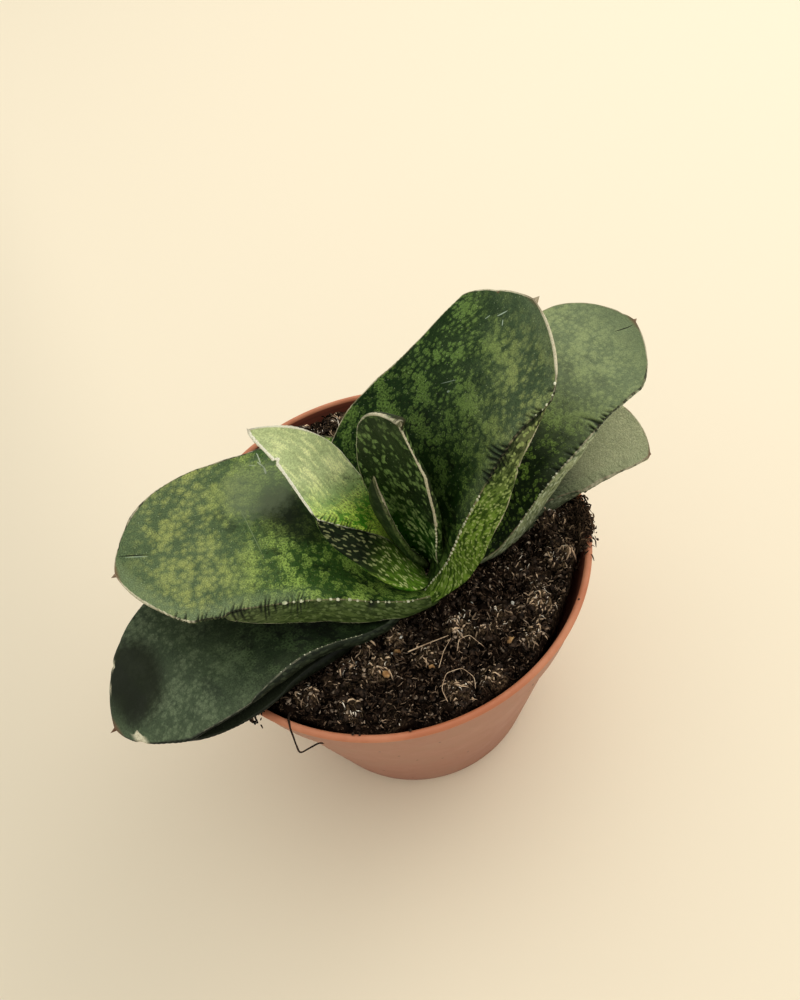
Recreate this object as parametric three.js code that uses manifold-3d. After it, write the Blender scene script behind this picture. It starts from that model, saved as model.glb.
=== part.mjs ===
// A young gasteria in a round nursery pot: two facing ranks of tongue-shaped leaves on a short rootstock.
// Millimetres, +Z up. The origin is the centre of the pot's foot, on the surface that the pot stands on.
import * as THREE from "three";
import { mergeVertices } from "three/addons/utils/BufferGeometryUtils.js";
import Module from "manifold-3d";

const wasm = await Module();
wasm.setup();

// ---- driving dimensions ----

const CLEARANCE = 0.3; // between the peat and the pot, and round the rootstock
const NEST_GAP = 0.5; // between a leaf and the younger ones it clasps
const PEAT_GAP = 1.2; // between the peat and a leaf or the rootstock

const pot = {
  height: 80.1,
  rimRadius: 52.5,
  footRadius: 36.8,
  wall: 1.3,
  floor: 1.8,
  lipHeight: 2.6,
  lipWidth: 2.6,
  collarBottom: 66.5, // the wall steps out here into a shallow collar under the lip
  collarRadius: 50.3,
  collarTopRadius: 51.4,
  step: 1.1,
  sides: 64,
};

const drain = { count: 6, radius: 3.6, ring: 25, sides: 12 };

const rootstock = { x: 9.8, y: -9.6, radius: 4.2, bottom: 58, top: 72.5 };

// The peat's top: its general level, a fall from one side to the other, a hump round the crown, clods.
const soil = {
  level: 75.2,
  edgeRise: 1.4,
  fall: 2.6, // lower to the front right by this much at the wall, higher to the front left
  fallFrom: -38, // degrees, where the peat lies lowest
  humpHeight: 2.0,
  humpRadius: 26,
  spillHeight: 7.5, // a mound that leans on the rim at the right
  spillFrom: -4,
  spillRadius: 12,
  rings: 14,
  sectors: 56,
  clods: 46,
  clodRadius: [3.2, 6.4],
  clodHeight: [0.8, 2.4],
  seed: 7,
};

// Each leaf follows a curve from its root on the rootstock. heading, rise and roll are degrees, given
// as the value at the root, then the change along the leaf and, if any, the change in that change:
// heading is the compass direction of travel, rise the slope, roll the turn about the leaf's own
// length. The near side is the one that faces -Y.
// The blade starts at base of its width, is full at peak of its length, and rounds off from taper
// onwards, blunter with a larger blunt: both are given for the far and the near side. farWave and
// nearWave are millimetres that one, two, three and four half waves along the leaf add to each
// margin. slant moves the tip towards the near side. A flank runs under the near margin down to the
// keel: flankDepth and flankWidth at the root, gone at merge, narrowing faster with a larger
// flankFade. cup lifts both margins at the root, where a leaf clasps the next younger one, gather
// draws the base in towards the rootstock, and sweep carries its near side round the crown by so many
// millimetres in x, y and z, fading out at sweepReach.
const leafDefaults = {
  base: 0.5,
  thickness: 4.6,
  gather: 0.4,
  nearGather: 0.1,
  farGather: 0.3,
  sag: 0.06,
  tail: 4, // how far the base runs on below the root
  spine: 1.3, // length of the small point at the tip
  flankFade: 0.5,
  sweep: [0, 0, 0],
  sweepReach: 0.25,
  farWave: [],
  nearWave: [],
};

const leafList = [
  {
    name: "leaf_1_lower_left", rank: "left", colour: 0x2c3c34,
    root: [-2.1, -10.6, 74.1], length: 63.7, width: 32,
    heading: [190, 41, 0], rise: [20, -15, 0], roll: [1.5, -1.5, 0],
    slant: 0.11, peak: 0.58, taper: [0.67, 0.64], blunt: [1.7, 1.63],
    nearWave: [0.1, 0.3, 0.8],
    merge: 0.61, flankDepth: 2.3, flankWidth: 2, cup: 3, thickness: 4.2,
  },
  {
    name: "leaf_2_lower_right", rank: "right", colour: 0x5d6f5e,
    root: [18.2, -4.3, 75.3], length: 61.8, width: 31.3,
    heading: [50, -72.5, -2.1], rise: [21.4, -16.4, 0.6], roll: [5.4, -8.7, -0.2],
    slant: 0.23, peak: 0.54, taper: [0.74, 0.64], blunt: [1.62, 1.45],
    farWave: [0, 0, 0.1, -0.6], nearWave: [-0.3, 0.5, 0.5, 0.3],
    merge: 0.61, flankDepth: 4.1, flankWidth: 3, flankFade: 0.54, cup: 3.9, thickness: 4.4,
    spine: 0.3,
  },
  {
    name: "leaf_3_left", rank: "left", colour: 0x2f423a,
    root: [1, -12.4, 76.4], length: 73.9, width: 39,
    heading: [189, 19.5, -0.1], rise: [27, -31.3, 0.3], roll: [7, -10.7, 0.1],
    slant: 0.14, peak: 0.84, taper: [0.7, 0.82], blunt: [1.45, 1.47],
    farWave: [0.2, -0.2, 0, 0.6], nearWave: [-0.5, 0.5, 0.5, 1.1],
    merge: 0.61, flankDepth: 1.7, flankWidth: 1.9, flankFade: 0.32, cup: 2.4, thickness: 4.4,
  },
  {
    name: "leaf_4_right", rank: "right", colour: 0x3b5a35,
    root: [15.5, -6.8, 74.3], length: 77.1, width: 39.6,
    heading: [52, -40.8, 0.5], rise: [45.6, -30.3, 0.2], roll: [-6.5, 3.2, -3],
    slant: 0.05, base: 0.51, peak: 0.64, taper: [0.64, 0.86], blunt: [1.45, 1.58],
    farWave: [-0.6, 0.6, 0.2, -2.6], nearWave: [-0.8, 1.3, 0.2, 0.3],
    merge: 0.68, flankDepth: 8.5, flankWidth: 2.8, flankFade: 0.89, cup: 4.1,
    spine: 0.8,
  },
  {
    name: "leaf_5_left", rank: "left", colour: 0x3f6135,
    root: [6.8, -8.3, 75.9], length: 76.5, width: 43.8,
    heading: [166.1, 24.2, 4.8], rise: [55.2, -64.6, 0.5], roll: [-18.3, 21.4, -4.9],
    slant: 0.02, base: 0.64, peak: 0.26, taper: [0.6, 0.8], blunt: [1.63, 1.45],
    farWave: [1.1, 0.5, -0.7, -1.7], nearWave: [-1.2, 0, -0.8, 0.1],
    merge: 0.7, flankDepth: 7.5, flankWidth: 5.3, flankFade: 0.47, cup: 15.9,
    sweep: [5, 0.9, -0.6], sweepReach: 0.37, gather: 0.25,
  },
  {
    name: "leaf_6_right", rank: "right", colour: 0x35562c,
    root: [10, -7.6, 80], length: 75.4, width: 46.8,
    heading: [32, -24.4, 7], rise: [95.8, -64.3, -7.8], roll: [-15.8, 27.8, 4.9],
    slant: -0.09, base: 0.58, peak: 0.3, taper: [0.86, 0.86], blunt: [1.45, 1.58],
    farWave: [1.2, 2.7, -0.3, -0.6], nearWave: [-3.1, -0.5, -1, -0.2],
    merge: 0.84, flankDepth: 6.7, flankWidth: 8.7, flankFade: 0.73, cup: 13.3,
    sweep: [-6.6, -3.8, -1.8], sweepReach: 0.19, gather: 0.34, nearGather: 0.12, tail: 8,
  },
  {
    name: "leaf_7_inner_left", rank: "left", colour: 0x5d8a3c,
    root: [9.4, -13.3, 77.1], length: 61.4, width: 18.2,
    heading: [157.1, -12, -1.6], rise: [67.5, -17.4, -1.7], roll: [56, -78.5, -1.9],
    slant: 0.17, base: 0.38, peak: 0.34, taper: [0.66, 0.57], blunt: [1.45, 1.45],
    farWave: [0.8, 0.4, 0.2, -0.2], nearWave: [0.5, 0.5, -1.2, 0.5],
    merge: 0.63, flankDepth: 10, flankWidth: 14, flankFade: 0.68, cup: 6.3, thickness: 3.6,
    sweep: [3, 1.3, 0.8], sweepReach: 0.28, spine: 0.5,
  },
  {
    name: "leaf_8_inner_right", rank: "right", colour: 0x2f4a2b,
    root: [9.9, -8.6, 80.3], length: 54.9, width: 20.5,
    heading: [33, -14.9, -1.1], rise: [100.9, -16, -0.7], roll: [-12.7, -0.3, 0],
    slant: 0.18, base: 0.66, peak: 0.57, taper: [0.74, 0.8], blunt: [2.31, 1.16],
    farWave: [0.5, -1.9, -1.6], nearWave: [-0.1, -0.3, -0.3],
    merge: 0.87, flankDepth: 0.8, flankWidth: 1, cup: 3.1, thickness: 3,
    nearGather: 0.14, tail: 5,
  },
  {
    name: "leaf_9_youngest", rank: "left", colour: 0x4c6b35,
    root: [9.2, -10, 81.7], length: 39, width: 5.6,
    heading: [189.3, -0.8, 1.3], rise: [67.3, 22.8, 2], roll: [23.6, 11.8, 2.5],
    slant: 0.14, peak: 0.5, taper: [0.55, 0.6], blunt: [1.3, 1],
    merge: 0.8, flankDepth: 0.8, flankWidth: 1, cup: 0.3, thickness: 1.2,
    gather: 0.3, spine: 0.8,
  },
];

const BLADE = { stations: 22, across: 6 }; // sections along a leaf, spans across each of its sides
const POCKET = { stations: 18, across: 4 }; // the same for the plain hollow that a leaf leaves in the peat
const EDGE = 0.9; // thickness of a margin

// ---- helpers ----

function solidFrom(geometry) {
  const bare = geometry.clone();
  bare.deleteAttribute("normal");
  bare.deleteAttribute("uv");
  const merged = mergeVertices(bare, 1e-4);
  return new wasm.Manifold(
    new wasm.Mesh({
      numProp: 3,
      vertProperties: new Float32Array(merged.attributes.position.array),
      triVerts: new Uint32Array(merged.index.array),
    }),
  );
}

function geometryFrom(solid) {
  const mesh = solid.getMesh();
  const geometry = new THREE.BufferGeometry();
  geometry.setAttribute("position", new THREE.BufferAttribute(mesh.vertProperties, 3));
  geometry.setIndex(new THREE.BufferAttribute(mesh.triVerts, 1));
  geometry.computeVertexNormals();
  return geometry;
}

function largestBody(solid) {
  const bodies = solid.decompose();
  return bodies.reduce((best, body) => (body.volume() > best.volume() ? body : best));
}

function subtractAll(solid, cutters) {
  return cutters.reduce((rest, cutter) => rest.subtract(cutter), solid);
}

// A closed surface through rings of points, each ring the same length. It ends in a fan to endPoint
// and starts with a fan from startPoint, or with a flat strip across the first ring if there is none.
function loft(rings, endPoint, startPoint) {
  const count = rings[0].length;
  const points = [...rings.flat(), endPoint];
  if (startPoint) points.push(startPoint);
  const end = rings.length * count;
  const last = (rings.length - 1) * count;
  const faces = [];
  for (let i = 0; !startPoint && i + 1 < count - 1 - i; i++) {
    const below = count - 1 - i;
    faces.push(i + 1, i, below);
    if (i + 2 < below) faces.push(i + 1, below, below - 1);
  }
  for (let i = 0; i < count; i++) {
    const j = (i + 1) % count;
    if (startPoint) faces.push(end + 1, j, i);
    faces.push(end, last + i, last + j);
    for (let r = 0; r + 1 < rings.length; r++) {
      const a = r * count;
      const b = a + count;
      faces.push(a + i, a + j, b + j);
      faces.push(a + i, b + j, b + i);
    }
  }
  const geometry = new THREE.BufferGeometry();
  const numbers = points.flatMap((point) => point.toArray());
  geometry.setAttribute("position", new THREE.Float32BufferAttribute(numbers, 3));
  geometry.setIndex(faces);
  return geometry;
}

// The same surface whichever way round its rings were listed.
function solidFacingOut(geometry) {
  const solid = solidFrom(geometry);
  if (solid.volume() > 0) return solid;
  const turned = geometry.clone();
  const index = turned.index.array;
  for (let i = 0; i < index.length; i += 3) [index[i + 1], index[i + 2]] = [index[i + 2], index[i + 1]];
  return solidFrom(turned);
}

function seededRandom(seed) {
  let state = seed >>> 0;
  return () => {
    state = (Math.imul(state, 1664525) + 1013904223) >>> 0;
    return state / 2 ** 32;
  };
}

function part(name, solid, colour, roughness) {
  const material = new THREE.MeshStandardMaterial({ color: colour, roughness, metalness: 0 });
  const mesh = new THREE.Mesh(geometryFrom(solid), material);
  mesh.name = name;
  return mesh;
}

const radians = THREE.MathUtils.degToRad;
const clamp01 = (value) => THREE.MathUtils.clamp(value, 0, 1);

// ---- leaves ----

// The leaf's line, and the directions across it and out of its upper face, at part s of its length.
function leafFrames(leaf, stations) {
  const side = leaf.rank === "right" ? 1 : -1;
  const steps = 160;
  const position = new THREE.Vector3(...leaf.root);
  const frameAt = (s) => {
    const [heading, rise, roll] = [leaf.heading, leaf.rise, leaf.roll].map(
      ([start, change, bend = 0]) => radians(start + change * s + bend * s * s),
    );
    const along = new THREE.Vector3(
      Math.cos(rise) * Math.cos(heading),
      Math.cos(rise) * Math.sin(heading),
      Math.sin(rise),
    );
    const level = new THREE.Vector3(Math.sin(heading), -Math.cos(heading), 0).multiplyScalar(side);
    const above = new THREE.Vector3().crossVectors(level, along).multiplyScalar(side);
    return {
      along,
      across: level.clone().multiplyScalar(Math.cos(roll)).addScaledVector(above, Math.sin(roll)),
      up: above.clone().multiplyScalar(Math.cos(roll)).addScaledVector(level, -Math.sin(roll)),
    };
  };
  const walk = (from, to) => {
    const travelled = new THREE.Vector3();
    for (let k = 0; k < steps; k++) {
      const middle = from + ((to - from) * (k + 0.5)) / steps;
      travelled.addScaledVector(frameAt(Math.max(middle, 0)).along, ((to - from) * leaf.length) / steps);
    }
    return travelled;
  };
  let reached = 0;
  const line = [];
  for (const s of stations) {
    position.add(walk(reached, s));
    reached = s;
    line.push({ s, point: position.clone(), ...frameAt(Math.max(s, 0)) });
  }
  return line;
}

// One section, as points [across, up] in order round it: far margin, upper face, near margin, flank,
// keel, under side.
function leafSection(leaf, s, spans) {
  const along = Math.max(s, 0);
  const swell = leaf.base + (1 - leaf.base) * Math.sin((Math.PI / 2) * clamp01(along / leaf.peak));
  const past = (taper) => clamp01((along - taper) / (1 - taper));
  const rounding = (side) => (1 - past(leaf.taper[side]) ** leaf.blunt[side]) ** (1 / leaf.blunt[side]);
  const wave = (sizes) => sizes.reduce((sum, size, k) => sum + size * Math.sin((k + 1) * Math.PI * along), 0);
  const farHalf = (leaf.width / 2) * swell * rounding(0) + wave(leaf.farWave);
  const nearHalf = (leaf.width / 2) * swell * rounding(1) + wave(leaf.nearWave);
  const centre = leaf.slant * leaf.width * past(leaf.taper[1]) ** 2;
  const flank = clamp01(1 - along / leaf.merge) ** leaf.flankFade;
  const lift = leaf.cup * clamp01(1 - along / 0.6) ** 1.5;
  const thick = leaf.thickness * (1 - 0.5 * along) * Math.min(1, (farHalf + nearHalf) / leaf.thickness);
  const farX = centre - farHalf;
  const keelX = centre + nearHalf;
  const nearX = keelX - leaf.flankWidth * flank * swell * rounding(1);
  const cupAt = (x) => lift * ((x - centre) / (x < centre ? farHalf : nearHalf)) ** 2;
  const points = [];
  for (let i = 0; i <= spans; i++) {
    const u = i / spans;
    const x = farX + (nearX - farX) * u;
    points.push([x, cupAt(x) - leaf.sag * nearHalf * 4 * u * (1 - u)]);
  }
  const keelUp = lift - leaf.flankDepth * flank - EDGE;
  points.push([(nearX + keelX) / 2 + 0.3 * flank, (cupAt(nearX) + keelUp) / 2 + 0.3 * flank]);
  for (let i = spans; i >= 0; i--) {
    const u = i / spans;
    const x = farX + (keelX - farX) * u;
    const belly = thick * (4 * u * (1 - u)) ** 0.7;
    points.push([x, cupAt(x) - EDGE - leaf.flankDepth * flank * u * u - belly]);
  }
  return points;
}

// The section pushed outwards, each point by its own margin.
function widened(section, margins) {
  const count = section.length;
  let area = 0;
  section.forEach(([x, y], i) => {
    const [nextX, nextY] = section[(i + 1) % count];
    area += x * nextY - nextX * y;
  });
  const turn = Math.sign(area);
  return section.map(([x, y], i) => {
    const [beforeX, beforeY] = section[(i + count - 1) % count];
    const [afterX, afterY] = section[(i + 1) % count];
    const inX = x - beforeX;
    const inY = y - beforeY;
    const outX = afterX - x;
    const outY = afterY - y;
    const inLength = Math.hypot(inX, inY);
    const outLength = Math.hypot(outX, outY);
    const normalX = turn * (inY / inLength + outY / outLength);
    const normalY = -turn * (inX / inLength + outX / outLength);
    const length = Math.max(Math.hypot(normalX, normalY), 0.4);
    return [x + (margins[i] * normalX) / length, y + (margins[i] * normalY) / length];
  });
}

// How far a point of the base is drawn in towards the rootstock, 0 to gather.
function gatherAt(leaf, s, side) {
  const reach = leaf.farGather + ((leaf.nearGather - leaf.farGather) * (side + 1)) / 2;
  return leaf.gather * clamp01(1 - Math.max(s, 0) / reach) ** 1.5;
}

// How far a point of the base is carried round the crown, 0 to 1.
function sweepAt(leaf, s, side) {
  return clamp01(1.5 * side) ** 2 * clamp01(1 - Math.max(s, 0) / leaf.sweepReach) ** 1.5;
}

function leafSolid(leafDimensions, margin = 0, detail = BLADE) {
  const leaf = { ...leafDefaults, ...leafDimensions };
  const sweep = new THREE.Vector3(...leaf.sweep);
  const stations = [-(leaf.tail + margin) / leaf.length];
  for (let i = 0; i < detail.stations; i++) stations.push(1 - (1 - i / detail.stations) ** 1.6);
  const line = leafFrames(leaf, [...stations, 1]);
  const tip = line.pop();
  const rings = line.map(({ s, point, across, up }) => {
    const section = leafSection(leaf, s, detail.across);
    const halfWidth = Math.max(...section.map(([x]) => Math.abs(x)));
    const drawn = section.map(([x]) => gatherAt(leaf, s, x / halfWidth));
    const carried = section.map(([x]) => sweepAt(leaf, s, x / halfWidth));
    const pushed = margin > 0 ? widened(section, drawn.map((share) => margin / (1 - share))) : section;
    return pushed.map(([x, y], i) => {
      const placed = point.clone().addScaledVector(across, x).addScaledVector(up, y);
      placed.x += (rootstock.x - placed.x) * drawn[i];
      placed.y += (rootstock.y - placed.y) * drawn[i];
      return placed.addScaledVector(sweep, carried[i]);
    });
  });
  const tipPoint = tip.point
    .clone()
    .addScaledVector(tip.across, leaf.slant * leaf.width)
    .addScaledVector(tip.along, leaf.spine + margin)
    .addScaledVector(tip.up, -EDGE / 2);
  return solidFacingOut(loft(rings, tipPoint));
}

// ---- pot, rootstock and peat ----

function potSolid() {
  const innerFoot = pot.footRadius - pot.wall;
  const wallTop = pot.collarRadius - pot.step;
  const lipBottom = pot.height - pot.lipHeight;
  const round = 0.5;
  const profile = [
    [0, 0],
    [pot.footRadius - 1.2, 0],
    [pot.footRadius, 1.2],
    [wallTop, pot.collarBottom],
    [pot.collarRadius, pot.collarBottom + 0.9],
    [pot.collarTopRadius, lipBottom],
    [pot.rimRadius - round, lipBottom],
    [pot.rimRadius, lipBottom + round],
    [pot.rimRadius, pot.height - round],
    [pot.rimRadius - round, pot.height],
    [pot.rimRadius - pot.lipWidth + round, pot.height],
    [pot.rimRadius - pot.lipWidth, pot.height - round],
    [pot.collarRadius - pot.wall, pot.collarBottom + 0.9],
    [wallTop - pot.wall, pot.collarBottom - 0.6],
    [innerFoot + 0.3, pot.floor + 1],
    [innerFoot - 0.8, pot.floor],
    [0, pot.floor],
  ].map(([r, z]) => new THREE.Vector2(r, z));
  const shell = new THREE.LatheGeometry(profile, pot.sides);
  shell.rotateX(Math.PI / 2);
  const holes = [];
  for (let i = 0; i < drain.count; i++) {
    const angle = ((i + 0.5) * 2 * Math.PI) / drain.count;
    const hole = new THREE.CylinderGeometry(drain.radius, drain.radius, 6, drain.sides);
    hole.rotateX(Math.PI / 2);
    hole.translate(drain.ring * Math.cos(angle), drain.ring * Math.sin(angle), 0);
    holes.push(solidFrom(hole));
  }
  return subtractAll(solidFacingOut(shell), holes);
}

function rootstockSolid(margin = 0) {
  const { radius, bottom, top } = rootstock;
  const profile = [
    [0, bottom - margin],
    [radius * 0.45 + margin, bottom - margin],
    [radius + margin, bottom + 5],
    [radius * 0.95 + margin, top - 4],
    [radius * 0.6 + margin, top - 1],
    [radius * 0.25 + margin, top + margin],
    [0, top + margin],
  ].map(([r, z]) => new THREE.Vector2(r, z));
  const geometry = new THREE.LatheGeometry(profile, 14);
  geometry.rotateX(Math.PI / 2);
  geometry.translate(rootstock.x, rootstock.y, 0);
  return solidFacingOut(geometry);
}

// Inner radius of the pot at a height.
function potBore(z) {
  const low = [pot.floor + 1, pot.footRadius - pot.wall + 0.3];
  const high = [pot.collarBottom - 0.6, pot.collarRadius - pot.step - pot.wall];
  const top = [pot.height - 0.5, pot.rimRadius - pot.lipWidth];
  if (z < high[0]) return low[1] + ((high[1] - low[1]) * Math.max(z - low[0], 0)) / (high[0] - low[0]);
  return high[1] + ((top[1] - high[1]) * (z - high[0])) / (top[0] - high[0]);
}

const bump = (distance, radius) => (distance < radius ? Math.cos((Math.PI / 2) * (distance / radius)) ** 2 : 0);

function soilHeights() {
  const random = seededRandom(soil.seed);
  const between = ([low, high]) => low + (high - low) * random();
  const clods = [];
  for (let i = 0; i < soil.clods; i++) {
    const angle = random() * 2 * Math.PI;
    const distance = 46 * Math.sqrt(random());
    clods.push({
      x: distance * Math.cos(angle),
      y: distance * Math.sin(angle),
      radius: between(soil.clodRadius),
      height: between(soil.clodHeight) * (random() < 0.25 ? -0.8 : 1),
    });
  }
  const spill = radians(soil.spillFrom);
  const lowest = radians(soil.fallFrom);
  return (x, y) => {
    const distance = Math.hypot(x, y);
    let z = soil.level + soil.edgeRise * (distance / 48) ** 2;
    z -= (soil.fall * (x * Math.cos(lowest) + y * Math.sin(lowest))) / 48;
    z += soil.humpHeight * bump(Math.hypot(x - rootstock.x, y - rootstock.y), soil.humpRadius);
    z += soil.spillHeight * bump(Math.hypot(x - 44 * Math.cos(spill), y - 44 * Math.sin(spill)), soil.spillRadius);
    for (const clod of clods) z += clod.height * bump(Math.hypot(x - clod.x, y - clod.y), clod.radius);
    return z;
  };
}

function soilSolid() {
  const heightAt = soilHeights();
  const rings = [];
  const bottom = pot.floor + CLEARANCE;
  const levels = [bottom, bottom + 1.2, 34, 62];
  const angles = Array.from({ length: soil.sectors }, (_, i) => (i * 2 * Math.PI) / soil.sectors);
  const circle = (radius, zAt) =>
    angles.map((angle) => {
      const x = radius * Math.cos(angle);
      const y = radius * Math.sin(angle);
      return new THREE.Vector3(x, y, zAt(x, y));
    });
  levels.forEach((z, i) => rings.push(circle(potBore(z) - CLEARANCE - (i === 0 ? 1.3 : 0.15), () => z)));
  const edge = potBore(70) - CLEARANCE - 0.15;
  for (let i = 0; i < soil.rings; i++) {
    const radius = edge * (1 - (i / soil.rings) ** 1.05);
    rings.push(circle(radius, heightAt));
  }
  const centre = (z) => new THREE.Vector3(0, 0, z);
  return solidFacingOut(loft(rings, centre(heightAt(0, 0)), centre(bottom)));
}

// ---- assembly: younger leaves keep their form, and older ones are hollowed where they clasp them ----

const plant = new THREE.Group();
plant.add(part("pot", potSolid(), 0xb4614a, 0.55));

const cutters = [rootstockSolid(CLEARANCE)];
const leafMeshes = [];
for (const leaf of [...leafList].reverse()) {
  const body = largestBody(subtractAll(leafSolid(leaf), cutters));
  leafMeshes.unshift(part(leaf.name, body, leaf.colour, 0.45));
  cutters.push(leafSolid(leaf, NEST_GAP));
}
leafMeshes.forEach((mesh) => plant.add(mesh));
plant.add(part("rootstock", rootstockSolid(), 0x8a7a55, 0.8));

const pockets = leafList.map((leaf) => leafSolid(leaf, PEAT_GAP, POCKET));
const peat = subtractAll(soilSolid(), [rootstockSolid(PEAT_GAP), ...pockets]);
plant.add(part("soil", largestBody(peat), 0x2a1d15, 0.95));

export default plant;
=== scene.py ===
"""A young gasteria in a round nursery pot: spotted leaves in two facing ranks, rooted in fibrous peat."""
import math

import bmesh
import bpy
import numpy as np
from mathutils import Matrix, Vector


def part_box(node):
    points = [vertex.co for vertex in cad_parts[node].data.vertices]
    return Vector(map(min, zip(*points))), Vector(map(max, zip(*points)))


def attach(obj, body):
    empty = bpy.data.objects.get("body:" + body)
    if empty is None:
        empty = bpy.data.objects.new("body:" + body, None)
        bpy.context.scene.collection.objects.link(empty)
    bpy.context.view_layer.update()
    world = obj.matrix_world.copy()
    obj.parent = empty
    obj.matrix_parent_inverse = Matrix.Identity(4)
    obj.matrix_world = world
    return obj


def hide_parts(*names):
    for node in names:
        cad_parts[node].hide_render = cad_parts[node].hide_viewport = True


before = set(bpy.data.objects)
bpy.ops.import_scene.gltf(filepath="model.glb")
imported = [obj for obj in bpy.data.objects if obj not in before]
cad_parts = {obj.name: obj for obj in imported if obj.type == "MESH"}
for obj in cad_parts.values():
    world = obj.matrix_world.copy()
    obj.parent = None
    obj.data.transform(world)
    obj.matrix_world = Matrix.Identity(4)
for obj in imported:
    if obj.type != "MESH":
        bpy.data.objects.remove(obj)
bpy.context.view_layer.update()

bl_info = {
    "name": "Potted Gasteria",
    "version": (1, 0, 0),
    "blender": (4, 5, 0),
    "location": "3D View > Sidebar > Gasteria",
    "description": "Builds a potted gasteria with its peat, leaves and studio stage",
    "category": "Add Mesh",
}

MM = 0.001
POT_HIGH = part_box("pot")[1]

# ---- leaf sizes: millimetres and degrees, from the outermost leaf to the youngest ----

ROOTSTOCK = (9.8, -9.6)  # the axis that the leaf bases are drawn towards
EDGE = 0.9  # thickness of a margin
SAG = 0.06  # how far the upper face sinks between its margins, over half its width
FAR_GATHER = 0.3  # share of the blade over which its far side is drawn in
RUFFLE = 0.25  # height of the skin's slow unevenness

# Heading, rise and roll: value at the root, change to the tip, bend. A side's pair is far, then near.
# base: width at the root, over the full width. peak: where it is full. taper and blunt: where a side starts
# to close, and how bluntly. waves: sizes of the sine waves along a margin. merge: where the flank ends.
# gather: how far the base is drawn to the rootstock. sweep: how far its near side is pushed round.
# tail: how far the leaf goes on below its root. spine: length of the tip's point.

LEAF_DEFAULTS = {
    "base": 0.5, "thickness": 4.6, "gather": 0.4, "near_gather": 0.1, "tail": 4.0, "spine": 1.3,
    "flank_fade": 0.5, "sweep": (0, 0, 0), "sweep_reach": 0.25, "far_wave": (0, 0, 0),
    "near_wave": (0, 0, 0),
}

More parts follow.
